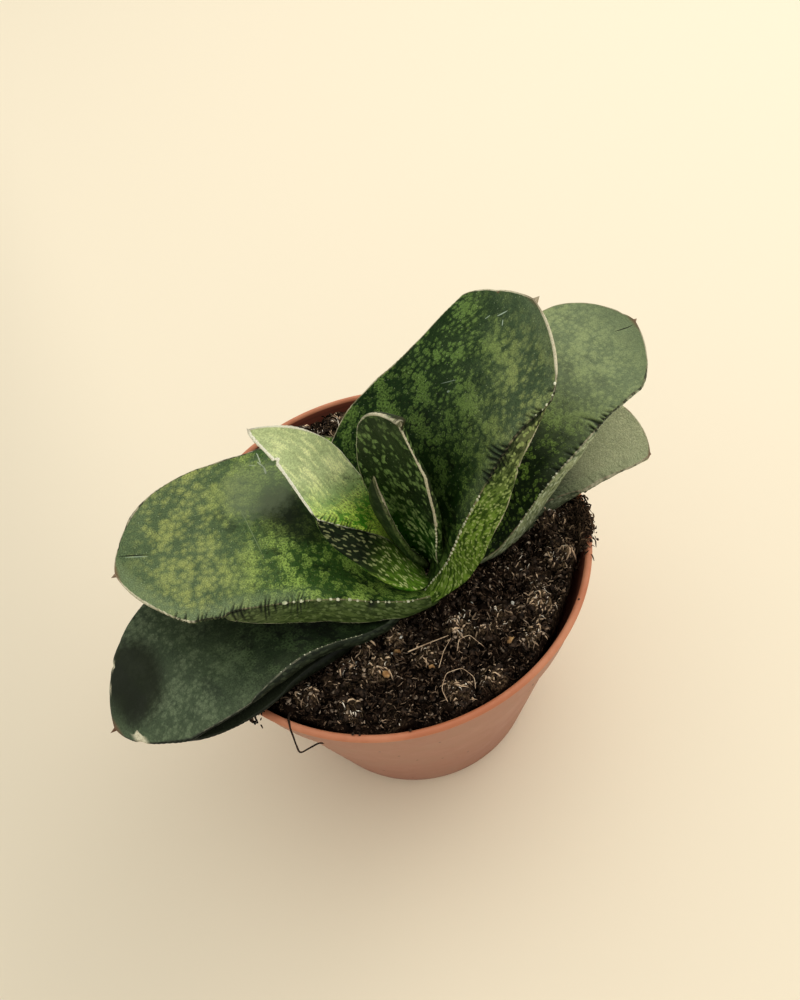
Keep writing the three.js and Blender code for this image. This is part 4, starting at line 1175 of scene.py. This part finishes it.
def peat_clods():
    random = seeded_random(PEAT["seed"])

    def between(pair):
        return pair[0] + (pair[1] - pair[0]) * random()

    clods = []
    for _ in range(PEAT["clods"]):
        angle = random() * 2 * math.pi
        distance = CLOD_REACH * math.sqrt(random())
        radius = between(PEAT["clod_radius"])
        height = between(PEAT["clod_height"]) * (-0.8 if random() < 0.25 else 1)
        clods.append((distance * math.cos(angle), distance * math.sin(angle), radius, height))
    return clods


def raise_domes(z, x, y, domes):
    """Adds round lumps to a raster of heights, and returns how much of each point they cover."""
    cover = np.zeros_like(z)
    for dome_x, dome_y, radius, height in domes:
        columns = slice(*np.searchsorted(x[0], (dome_x - radius, dome_x + radius)))
        rows = slice(*np.searchsorted(y[:, 0], (dome_y - radius, dome_y + radius)))
        share = np.hypot(x[rows, columns] - dome_x, y[rows, columns] - dome_y) / radius
        dome = np.sqrt(clamp01(1 - share ** 2))
        z[rows, columns] += height * dome
        cover[rows, columns] = np.maximum(cover[rows, columns], clamp01(4 * dome))
    return cover


def peat_field():
    """Rasters of the peat's height and of how pale it is: pale lumps, slow noise, and painted light at the
    back left.
    """
    line = np.arange(-FIELD_HALF, FIELD_HALF + FIELD_STEP / 2, FIELD_STEP)
    x, y = np.meshgrid(line, line)
    distance = np.hypot(x, y)
    lowest = math.radians(PEAT["fall_from"])
    spill = math.radians(PEAT["spill_from"])
    z = PEAT["level"] + PEAT["edge_rise"] * (distance / PEAT_RADIUS) ** 2
    z -= PEAT["fall"] * (x * math.cos(lowest) + y * math.sin(lowest)) / PEAT_RADIUS
    z += PEAT["hump"] * bump(np.hypot(x - ROOTSTOCK[0], y - ROOTSTOCK[1]), PEAT["hump_radius"])
    from_spill = np.hypot(x - SPILL_REACH * math.cos(spill), y - SPILL_REACH * math.sin(spill))
    z += PEAT["spill"] * bump(from_spill, PEAT["spill_radius"])
    away = degrees_from(np.arctan2(y, x), PEAT["sunk_from"])
    z -= PEAT["sunk"] * clamp01((distance - 34) / 14) * np.exp(-((away / 42) ** 2))
    for clod_x, clod_y, radius, height in peat_clods():
        z += 0.7 * height * bump(np.hypot(x - clod_x, y - clod_y), radius)
    pale = raise_domes(z, x, y, LUMPS)
    random = np.random.default_rng(PEAT["seed"])
    for count, smallest, more, power, sink, rise in CLUMPS:
        places = random.uniform(-FIELD_HALF, FIELD_HALF, (count, 2))
        sizes = smallest + more * random.uniform(0, 1, count) ** power
        raise_domes(z, x, y, np.column_stack([places, sizes, random.uniform(sink, rise, count) * sizes]))
    coarse = soft_noise(x / 1.1 + 90, y / 1.1 + 90, 22)
    z += 0.35 * coarse + 0.18 * soft_noise(x / 0.5 + 200, y / 0.5 + 200, 23)
    # Painted light: the back left of the peat, which lies in shade, is made paler.
    back_painted_light = clamp01((distance - 30) / 12) * np.exp(-((away / 40) ** 2))
    tone = clamp01(0.75 * pale + 0.55 * soft_noise(x / 5 + 30, y / 5 + 30, 24) + 0.45 * back_painted_light)
    return z, tone


def sampled(raster, x, y):
    """Values of a raster between its points."""
    column = np.clip((x + FIELD_HALF) / FIELD_STEP, 0, raster.shape[1] - 1.001)
    row = np.clip((y + FIELD_HALF) / FIELD_STEP, 0, raster.shape[0] - 1.001)
    c, r = np.floor(column).astype(int), np.floor(row).astype(int)
    return bilinear(lambda right, up: raster[r + up, c + right], column - c, row - r)


PEAT_HEIGHTS, PEAT_TONES = peat_field()


def peat_height(x, y):
    """Height of the peat's top, in millimetres."""
    return sampled(PEAT_HEIGHTS, x, y)


def peat_edge(angle):
    """How far the peat has shrunk from the wall, widest at the front right."""
    gap = 0.5 + 2.4 * np.exp(-(degrees_from(angle, -36) / 15) ** 2)
    gap += 0.8 * np.exp(-(degrees_from(angle, PEAT["sunk_from"]) / 35) ** 2)
    return gap + 0.4 * soft_noise(angle * 9 + 30, 0 * angle, 31)


def build_peat():
    angle = np.arange(SECTORS) * 2 * np.pi / SECTORS
    rows = [np.stack([*polar(radius, angle), 0 * angle + z], -1) for z, radius in PEAT_SIDE]
    edge = WALL_INSIDE - peat_edge(angle)
    for i in range(TOP_RINGS + 1):
        x, y = polar(edge * (1 - i / TOP_RINGS), angle)
        rows.append(np.stack([x, y, peat_height(x, y) - 1.5 * (i == 0)], -1))
    places = np.stack(rows)
    piece = make_piece("peat_bed", grid_shell(places * MM), [peat_material()], node="soil")
    set_attribute(piece.data, "peat_tone", kept_values(sampled(PEAT_TONES, places[:, :, 0], places[:, :, 1])))
    return piece


def peat_material():
    shader = Shader("peat", roughness=0.95, specular=0.06)
    place = shader.place()
    tone = shader.attribute("peat_tone", "Fac")
    clump = shader.noise(place, 0.3, 4.0, 0.65)
    strand = shader.noise(shader.vector("MULTIPLY", place, (1.0, 1.0, 0.4)), 1.7, 5.0, 0.7)
    colour = shader.mix(shader.ramp(clump, 0.35, 0.68), (0.002, 0.0011, 0.0008), (0.03, 0.017, 0.011))
    pale = shader.mix(shader.ramp(strand, 0.4, 0.65), (0.05, 0.032, 0.019), (0.46, 0.33, 0.2))
    colour = shader.mix(shader.times(tone, 0.8), colour, pale)
    colour = shader.mix(shader.ramp(strand, 0.55, 0.69, 0.0, 0.8), colour, (0.32, 0.215, 0.135))
    shader.colour(colour)
    shader.bump(strand, 0.5, 0.9)
    return shader.material


def tube_template(rings):
    """A closed three-sided tube of that many rings."""
    bm = bmesh.new()
    bmesh.ops.create_grid(bm, x_segments=3, y_segments=rings - 1, size=1.0)
    bm.verts.ensure_lookup_table()
    bmesh.ops.weld_verts(bm, targetmap={bm.verts[4 * r + 3]: bm.verts[4 * r] for r in range(rings)})
    bm = in_order(bm)
    bm.verts.ensure_lookup_table()
    for first in (0, 3 * (rings - 1)):
        bmesh.ops.contextual_create(bm, geom=bm.verts[first:first + 3])
    return in_order(bm)


def repeated(bm, count):
    """Copies everything in the bmesh until it is there count times, in order."""
    size = len(bm.verts)
    faces = len(bm.faces)
    while len(bm.verts) < size * count:
        bm.verts.ensure_lookup_table()
        bm.faces.ensure_lookup_table()
        left = count - len(bm.verts) // size
        verts = bm.verts[:size * left]
        picked = bm.faces[:faces * left]
        edges = {e for f in picked for e in f.edges}
        bmesh.ops.duplicate(bm, geom=verts + list(edges) + picked)
    return bm


def strewn(count, seed):
    """Starting points spread evenly over the peat."""
    random = np.random.default_rng(seed)
    radius = 48.4 * np.sqrt(random.uniform(0, 1, count))
    angle = random.uniform(0, 2 * np.pi, count)
    radius = np.minimum(radius, 49.0 - peat_edge(angle))
    return *polar(radius, angle), 0 * radius


def spilled(count, seed, lift, middle, spread, reach):
    """Starting points in a clump over the lip, at an angle with its spread, and at a radius."""
    random = np.random.default_rng(seed)
    angle = np.radians(random.normal(middle, spread, count))
    radius = random.normal(reach, 1.5, count)
    return *polar(radius, angle), lift * random.uniform(0, 1, count) ** 1.5


def resting_height(x, y):
    """Height that a loose strand or crumb lies at, on the peat or on the pot's lip."""
    radius = np.hypot(x, y)
    lip = LIP_TOP - 2.0 * np.maximum(radius - LIP_OUTSIDE, 0)
    return np.where(radius < LIP_INSIDE, peat_height(x, y), lip)


def build_fibres(name, starts, seed, thickness, length, tones, reach):
    """Many thin curved strands that start at the given points."""
    random = np.random.default_rng(seed)
    rings = FIBRE_RINGS
    x, y, lift = starts
    count = len(x)
    bm = repeated(tube_template(rings), count)
    pale = sampled(PEAT_TONES, x, y)
    heading = random.uniform(0, 2 * np.pi, count)
    bend = random.normal(0, 0.14, count)
    size = length[0] + (length[1] - length[0]) * random.uniform(0, 1, count) ** 1.8
    stand = np.where(random.uniform(0, 1, count) < 0.15, random.uniform(0.4, 2.0, count), 0.0)
    arch = random.uniform(-0.1, 0.8, count)
    thick = random.uniform(*thickness, count)
    centres = []
    for ring in range(rings):
        share = ring / (rings - 1)
        pull = np.minimum(1.0, reach / np.maximum(np.hypot(x, y), 1e-6))
        x, y = x * pull, y * pull
        z = resting_height(x, y) + lift + 0.15 + arch * math.sin(math.pi * share) + stand * share ** 2
        centres.append(np.stack([x, y, z], -1))
        way = heading + bend * size * share + 0.4 * (random.uniform(-1, 1, count))
        x = x + np.cos(way) * size / (rings - 1)
        y = y + np.sin(way) * size / (rings - 1)
    centres = np.stack(centres, axis=1)
    along = unit(np.gradient(centres, axis=1))
    level = unit(np.cross(along, (0, 0, 1)))
    above = np.cross(level, along)
    taper = np.array([0.5, 1.0, 0.95, 0.35])[None, :, None]
    verts = []
    for k in range(3):
        turn = 2 * np.pi * k / 3
        outward = level * math.cos(turn) + above * math.sin(turn)
        verts.append(centres + outward * thick[:, None, None] * taper)
    move_verts(bm, np.stack(verts, axis=2).reshape(-1, 3) * MM)
    bmesh.ops.recalc_face_normals(bm, faces=bm.faces[:])
    piece = make_piece(name, bm, [fibre_material(name, tones)])
    tone = clamp01(random.uniform(0, 1, count) ** 1.8 * (0.65 + 1.5 * pale))
    set_attribute(piece.data, "strand_tone", np.repeat(tone, 3 * rings))
    return piece


def fibre_material(name, tones):
    shader = Shader(name + "_strands", roughness=0.8, specular=0.05)
    tone = shader.attribute("strand_tone", "Fac")
    dark, middle, pale = tones
    colour = shader.mix(shader.ramp(tone, 0.0, 0.5), dark, middle)
    colour = shader.mix(shader.ramp(tone, 0.5, 1.0), colour, pale)
    shader.colour(colour)
    return shader.material


def build_lumps(name, places, sizes, flatness, rough, seed, material):
    """Small rough grains: a ball each, its points pushed about and squashed."""
    random = np.random.default_rng(seed)
    bm = bmesh.new()
    bmesh.ops.create_icosphere(bm, subdivisions=1 if len(places) > 100 else 2, radius=1.0)
    ball = np.array([v.co[:] for v in bm.verts])
    count = len(places)
    repeated(bm, count)
    shape = ball[None] * (1 + random.uniform(-rough, rough, (count, len(ball), 1)))
    stretch = random.uniform(0.7, 1.35, (count, 1, 3)) * np.array([1, 1, flatness])
    shape = shape * stretch
    turn = random.uniform(0, 2 * np.pi, count)[:, None]
    x = shape[:, :, 0] * np.cos(turn) - shape[:, :, 1] * np.sin(turn)
    y = shape[:, :, 0] * np.sin(turn) + shape[:, :, 1] * np.cos(turn)
    shape = np.stack([x, y, shape[:, :, 2]], -1)
    move_verts(bm, (places[:, None] + shape * sizes[:, None, None]).reshape(-1, 3) * MM)
    return make_piece(name, bm, [material])


def random_sizes(places, seed, low, high):
    return np.random.default_rng(seed).uniform(low, high, len(places))


def scattered(count, seed):
    """Places on the peat, evenly spread."""
    x, y, _ = strewn(count, seed)
    return np.stack([x, y, peat_height(x, y)], -1)


def laid(spots):
    """Places on the peat or the lip for crumbs at known points, and their sizes."""
    x, y, sizes = np.array(spots, float).T
    return np.stack([x, y, resting_height(x, y) + 0.35 * sizes], -1), sizes


# Dark and light tone of each rough material, and how fine its grain is.
GRAINS = {
    "peat_crumb": ((0.004, 0.0025, 0.0015), (0.1, 0.065, 0.045), 0.9),
    "bark_flake": ((0.04, 0.025, 0.017), (0.7, 0.55, 0.42), 0.5),
    "perlite": ((0.5, 0.48, 0.42), (0.86, 0.84, 0.78), 1.5),
    "bark_bit": ((0.3, 0.15, 0.06), (0.6, 0.4, 0.2), 0.9),
    "root_skin": ((0.014, 0.008, 0.005), (0.05, 0.03, 0.019), 1.0),
    "dry_root": ((0.4, 0.27, 0.18), (0.72, 0.56, 0.4), 1.0),
    "rootstock_bark": ((0.14, 0.1, 0.05), (0.3, 0.24, 0.13), 0.5),
}


def grain_material(name):
    dark, light, scale = GRAINS[name]
    shader = Shader(name, roughness=0.85, specular=0.25)
    tone = shader.noise(shader.place(), scale, 3.0, 0.6)
    shader.colour(shader.mix(shader.ramp(tone, 0.3, 0.7), dark, light))
    shader.bump(tone, 0.2, 0.5)
    return shader.material


def build_tube(name, points, radius, material):
    """A thin root along a smooth line through a few points, closed at both ends."""
    points = np.array(points, float)
    knots = np.concatenate([[0], np.cumsum(np.linalg.norm(np.diff(points, axis=0), axis=1))])
    at = np.linspace(0, knots[-1], TUBE_ROWS)
    line = np.stack([np.interp(at, knots, points[:, k]) for k in range(3)], -1)
    for _ in range(3):
        line[1:-1] = (line[:-2] + 2 * line[1:-1] + line[2:]) / 4
    along = unit(np.gradient(line, axis=0))
    level = unit(np.cross(along, (0.13, 0.05, 1)))
    above = np.cross(level, along)
    uneven = 1 + 0.15 * soft_noise(at / 1.5, 0 * at, 5)
    taper = radius * (0.65 + 0.35 * np.linspace(1, 0, TUBE_ROWS)) * uneven
    taper[0] = taper[-1] = radius * 0.05
    turn = np.arange(TUBE_SIDES) * 2 * np.pi / TUBE_SIDES
    ring = level[:, None] * np.cos(turn)[None, :, None] + above[:, None] * np.sin(turn)[None, :, None]
    places = line[:, None] + ring * taper[:, None, None]
    return make_piece(name, grid_shell(places * MM), [material])


# ---- single bits on the peat, in millimetres: place and radius ----

WHITE_GRAINS = (
    (-11.3, -31.2, 0.6), (27.9, -23.6, 0.6), (18.2, -22.0, 0.42), (10.1, -46.4, 0.6), (33.7, -11.1, 0.4),
    (-28.0, -32.5, 0.32), (-18.7, -32.2, 0.4), (-9.2, -23.1, 0.32),
)
BARK_BITS = ((24.9, -33.8, 1.15), (5.5, -35.7, 0.8), (-5.1, -36.0, 0.9), (-1.8, -29.3, 0.8))
LIP_CRUMBS = (
    (-14.4, -48.9, 0.45), (-13.0, -49.4, 0.35), (-35.0, -37.0, 0.5), (-2.0, -50.9, 0.3),
    (-36.5, -38.5, 0.7), (-37.8, -38.0, 0.5),
)

# Roots that lie free: the points they pass and the radius.
ROOTS = {
    "hanging_root": (
        (
            (-28.0, -40.0, 78.6), (-28.3, -41.9, 80.4), (-28.1, -43.6, 80.4), (-28.2, -44.6, 79.4),
            (-28.3, -44.8, 77.0), (-28.5, -45.5, 74.0), (-28.5, -46.7, 70.5), (-27.8, -46.9, 71.0),
            (-26.2, -46.9, 72.3), (-24.0, -47.0, 74.0), (-22.8, -46.9, 74.8), (-21.9, -47.2, 74.0),
        ),
        0.25,
    ),
    "dry_stick": (((0.7, -32.3, 79.6), (5.0, -31.8, 80.4), (11.0, -30.9, 80.6)), 0.18),
    "arched_root": (
        ((12.0, -34.4, 78.6), (13.0, -32.4, 80.4), (15.6, -31.9, 80.6), (18.3, -34.9, 79.0)), 0.12,
    ),
    "ringed_root": (
        (
            (7.4, -46.0, 78.6), (6.6, -43.0, 79.8), (8.4, -39.8, 80.4), (12.2, -39.4, 80.4),
            (14.4, -42.0, 79.8), (14.0, -44.6, 79.0),
        ),
        0.12,
    ),
    "forked_root": (((7.0, -37.5, 78.6), (9.0, -34.0, 79.6), (11.4, -31.0, 79.4)), 0.12),
}


# ---- settings ----

class PotSettings(bpy.types.PropertyGroup):
    rim_radius: bpy.props.FloatProperty(
        name="Rim radius", description="Outer radius of the lip", default=POT_HIGH.x, unit="LENGTH")
    foot_radius: bpy.props.FloatProperty(
        name="Foot radius", description="Outer radius at the foot", default=36.8 * MM, unit="LENGTH")
    height: bpy.props.FloatProperty(
        name="Height", description="Height of the pot", default=POT_HIGH.z, unit="LENGTH")
    wall: bpy.props.FloatProperty(
        name="Wall", description="Thickness of the wall", default=1.3 * MM, unit="LENGTH")
    floor: bpy.props.FloatProperty(
        name="Floor", description="Thickness of the floor", default=1.8 * MM, unit="LENGTH")
    lip: bpy.props.FloatProperty(
        name="Lip", description="Height and width of the thickened lip", default=1.7 * MM, unit="LENGTH")
    sides: bpy.props.IntProperty(
        name="Sides", description="Facets round the pot", default=192, min=24)


class PeatSettings(bpy.types.PropertyGroup):
    fibres: bpy.props.IntProperty(
        name="Fibres", description="Thin strands on the peat", default=9500, min=0)
    roots: bpy.props.IntProperty(
        name="Pale roots", description="Longer pale strands on the peat", default=3400, min=0)
    flakes: bpy.props.IntProperty(
        name="Bark flakes", description="Thin pale flakes on the peat", default=1400, min=0)
    crumbs: bpy.props.IntProperty(
        name="Crumbs", description="Dark crumbs on the peat", default=2600, min=0)
    grains: bpy.props.IntProperty(
        name="White grains", description="Grains of perlite on the peat", default=12, min=0)


class LeafSettings(bpy.types.PropertyGroup):
    step: bpy.props.FloatProperty(
        name="Row step", description="Distance between rows of faces along a leaf, in millimetres",
        default=0.24, min=0.1)
    gloss: bpy.props.FloatProperty(
        name="Roughness", description="Roughness of the waxy skin", default=0.4, min=0, max=1,
        subtype="FACTOR")


class StageSettings(bpy.types.PropertyGroup):
    floor_colour: bpy.props.FloatVectorProperty(
        name="Floor", description="Colour of the floor", default=(0.88, 0.79, 0.645), subtype="COLOR")
    sky: bpy.props.FloatProperty(
        name="Sky", description="Strength of the light from all round", default=0.8)
    key: bpy.props.FloatProperty(
        name="Window", description="Power of the large soft light", default=3.1, unit="POWER")
    ceiling: bpy.props.FloatProperty(
        name="Ceiling", description="Power of the light from above", default=6.0, unit="POWER")


# ---- operators ----

class GASTERIA_OT_pot(bpy.types.Operator):
    """Build the nursery pot"""
    bl_idname = "gasteria.pot"
    bl_label = "Pot"

    def execute(self, context):
        build_pot(context.scene.gasteria_pot)
        return {"FINISHED"}


class GASTERIA_OT_peat(bpy.types.Operator):
    """Build the peat with its crumbs and grains"""
    bl_idname = "gasteria.peat"
    bl_label = "Peat"

    def execute(self, context):
        settings = context.scene.gasteria_peat
        build_peat()
        crumbs = scattered(settings.crumbs, 41)
        sizes = random_sizes(crumbs, 42, 0.25, 0.85)
        crumb = grain_material("peat_crumb")
        build_lumps("peat_crumbs", crumbs, sizes, 0.7, 0.45, 43, crumb)
        flakes = scattered(settings.flakes, 47)
        sizes = random_sizes(flakes, 48, 0.2, 0.6)
        flake = grain_material("bark_flake")
        build_lumps("bark_flakes", flakes, sizes, 0.4, 0.4, 49, flake)
        x, y, lift = spilled(150, 44, 2.0, *SPILL_CLUMP)
        sizes = random_sizes(x, 45, 0.2, 0.7)
        spill = np.stack([x, y, resting_height(x, y) + lift], -1)
        build_lumps("spilled_crumbs", spill, sizes, 0.8, 0.3, 46, crumb)
        grains = scattered(settings.grains, 51)
        grains[:, 2] += 0.3
        sizes = random_sizes(grains, 52, 0.2, 0.5)
        known, known_sizes = laid(WHITE_GRAINS)
        white = grain_material("perlite")
        grains, sizes = np.concatenate([grains, known]), np.concatenate([sizes, known_sizes])
        build_lumps("perlite_grains", grains, sizes, 0.9, 0.2, 53, white)
        tan = grain_material("bark_bit")
        build_lumps("bark_bits", *laid(BARK_BITS), 0.7, 0.25, 54, tan)
        build_lumps("lip_crumbs", *laid(LIP_CRUMBS), 0.6, 0.3, 55, crumb)
        return {"FINISHED"}


class GASTERIA_OT_fibres(bpy.types.Operator):
    """Strew the peat's fibres and roots"""
    bl_idname = "gasteria.fibres"
    bl_label = "Fibres"

    def execute(self, context):
        settings = context.scene.gasteria_peat
        spill, stray = spilled(1100, 64, 2.4, *SPILL_CLUMP), spilled(90, 66, 1.2, *STRAY_CLUMP)
        for name, starts, seed, thickness, length, tones, reach in (
            ("peat_fibres", strewn(settings.fibres, 60), 61, (0.09, 0.3), (0.5, 2.5), BROWN_TONES, 49.0),
            ("pale_fibres", strewn(settings.roots, 62), 63, (0.08, 0.21), (0.4, 2.0), PALE_TONES, 49.0),
            ("spilled_fibres", spill, 65, (0.1, 0.26), (0.6, 2.6), EARTH_TONES, 53.6),
            ("stray_fibres", stray, 67, (0.15, 0.34), (0.5, 1.9), BROWN_TONES, 54.4),
        ):
            build_fibres(name, starts, seed, thickness, length, tones, reach)
        root = grain_material("root_skin")
        tan = grain_material("dry_root")
        for name, (points, radius) in ROOTS.items():
            build_tube(name, points, radius, root if name == "hanging_root" else tan)
        return {"FINISHED"}


class GASTERIA_OT_leaves(bpy.types.Operator):
    """Build the nine leaves"""
    bl_idname = "gasteria.leaves"
    bl_label = "Leaves"

    def execute(self, context):
        settings = context.scene.gasteria_leaves
        for name in LEAVES:
            build_leaf(name, settings.step, settings.gloss)
        return {"FINISHED"}


class GASTERIA_OT_rootstock(bpy.types.Operator):
    """Give the buried rootstock its bark"""
    bl_idname = "gasteria.rootstock"
    bl_label = "Rootstock"

    def execute(self, context):
        bark = grain_material("rootstock_bark")
        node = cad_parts["rootstock"]
        node.data.materials.clear()
        node.data.materials.append(bark)
        return {"FINISHED"}


class GASTERIA_OT_stage(bpy.types.Operator):
    """Set the floor, the lights and the camera"""
    bl_idname = "gasteria.stage"
    bl_label = "Stage"

    def execute(self, context):
        build_stage(context.scene)
        return {"FINISHED"}


# ---- stage ----

CAMERA = {
    "place": (6.77, -116.0, 248.6), "target": (6.77, 10.86, 80.1), "roll": -12.61, "lens": 28.8,
    "sensor": 36.0,
}


FLOOR_HALF = 2.5  # metres
# The floor's far left is darkened as painted shade.
FLOOR_PAINTED_SHADE = 0.87  # how bright the far left of the floor is, over the rest
SKY_COLOUR, LIGHT_COLOUR = (1.0, 1.0, 0.93, 1.0), (1.0, 0.985, 0.95)
# Place, target and size, in metres.
WINDOW, CEILING = ((0.76, 0.2, 0.78), (0, 0, 0.05), 1.3), ((0.3, 0.5, 1.3), (0.05, 0.05, 0), 1.6)
GAMMA = 0.85


def aimed(place, target):
    """The transform of a light or camera that looks from a place at a target."""
    return Matrix.Translation(place) @ (target - place).to_track_quat("-Z", "Y").to_matrix().to_4x4()


def build_stage(scene):
    settings = scene.gasteria_stage
    bm = bmesh.new()
    bmesh.ops.create_grid(bm, x_segments=1, y_segments=1, size=FLOOR_HALF)
    floor = mesh_object("floor", bm)
    paint = Shader("floor_paint_with_shade", roughness=0.8, specular=0.1)
    x, y, _ = paint.parts(paint.place())
    # Painted shade: the floor darkens towards the far left.
    painted_shade = paint.ramp(paint.plus(x, paint.times(y, 0.35)), -150, -30)
    colour = settings.floor_colour
    paint.colour(paint.mix(painted_shade, [FLOOR_PAINTED_SHADE * channel for channel in colour], colour[:]))
    floor.data.materials.append(paint.material)

    world = bpy.data.worlds.new("sky")
    world.use_nodes = True
    background = world.node_tree.nodes["Background"]
    background.inputs["Color"].default_value = SKY_COLOUR
    background.inputs["Strength"].default_value = settings.sky
    scene.world = world

    add_light(scene, "window", *WINDOW, settings.key)
    add_light(scene, "ceiling", *CEILING, settings.ceiling)

    data = bpy.data.cameras.new("camera")
    data.lens = CAMERA["lens"]
    data.sensor_width = CAMERA["sensor"]
    data.clip_start = 0.01
    camera = bpy.data.objects.new("camera", data)
    place, target = (Vector(CAMERA[key]) * MM for key in ("place", "target"))
    camera.matrix_world = aimed(place, target) @ Matrix.Rotation(math.radians(CAMERA["roll"]), 4, "Z")
    scene.collection.objects.link(camera)
    scene.camera = camera
    scene.view_settings.view_transform = "Standard"
    scene.view_settings.gamma = GAMMA


def add_light(scene, name, place, target, size, power):
    data = bpy.data.lights.new(name, "AREA")
    data.energy = power
    data.size = size
    data.color = LIGHT_COLOUR
    light = bpy.data.objects.new(name, data)
    light.matrix_world = aimed(Vector(place), Vector(target))
    scene.collection.objects.link(light)


class GASTERIA_PT_panel(bpy.types.Panel):
    """Lists what the add-on can build"""
    bl_label = "Gasteria"
    bl_idname = "GASTERIA_PT_panel"
    bl_space_type = "VIEW_3D"
    bl_region_type = "UI"
    bl_category = "Gasteria"

    def draw(self, context):
        for operator in OPERATORS:
            self.layout.operator(operator.bl_idname)
        for name in SETTINGS:
            settings = getattr(context.scene, name)
            for key in settings.__annotations__:
                self.layout.prop(settings, key)


OPERATORS = (
    GASTERIA_OT_stage, GASTERIA_OT_pot, GASTERIA_OT_peat, GASTERIA_OT_fibres, GASTERIA_OT_rootstock,
    GASTERIA_OT_leaves,
)
SETTINGS = {
    "gasteria_pot": PotSettings, "gasteria_peat": PeatSettings, "gasteria_leaves": LeafSettings,
    "gasteria_stage": StageSettings,
}


def register():
    for cls in (*SETTINGS.values(), *OPERATORS, GASTERIA_PT_panel):
        bpy.utils.register_class(cls)
    for name, cls in SETTINGS.items():
        setattr(bpy.types.Scene, name, bpy.props.PointerProperty(type=cls))


def unregister():
    for name in SETTINGS:
        delattr(bpy.types.Scene, name)
    for cls in reversed((*SETTINGS.values(), *OPERATORS, GASTERIA_PT_panel)):
        bpy.utils.unregister_class(cls)


def main():
    register()
    bpy.ops.gasteria.stage()
    bpy.ops.gasteria.pot()
    bpy.ops.gasteria.peat()
    bpy.ops.gasteria.fibres()
    bpy.ops.gasteria.rootstock()
    bpy.ops.gasteria.leaves()


if __name__ == "__main__":
    main()
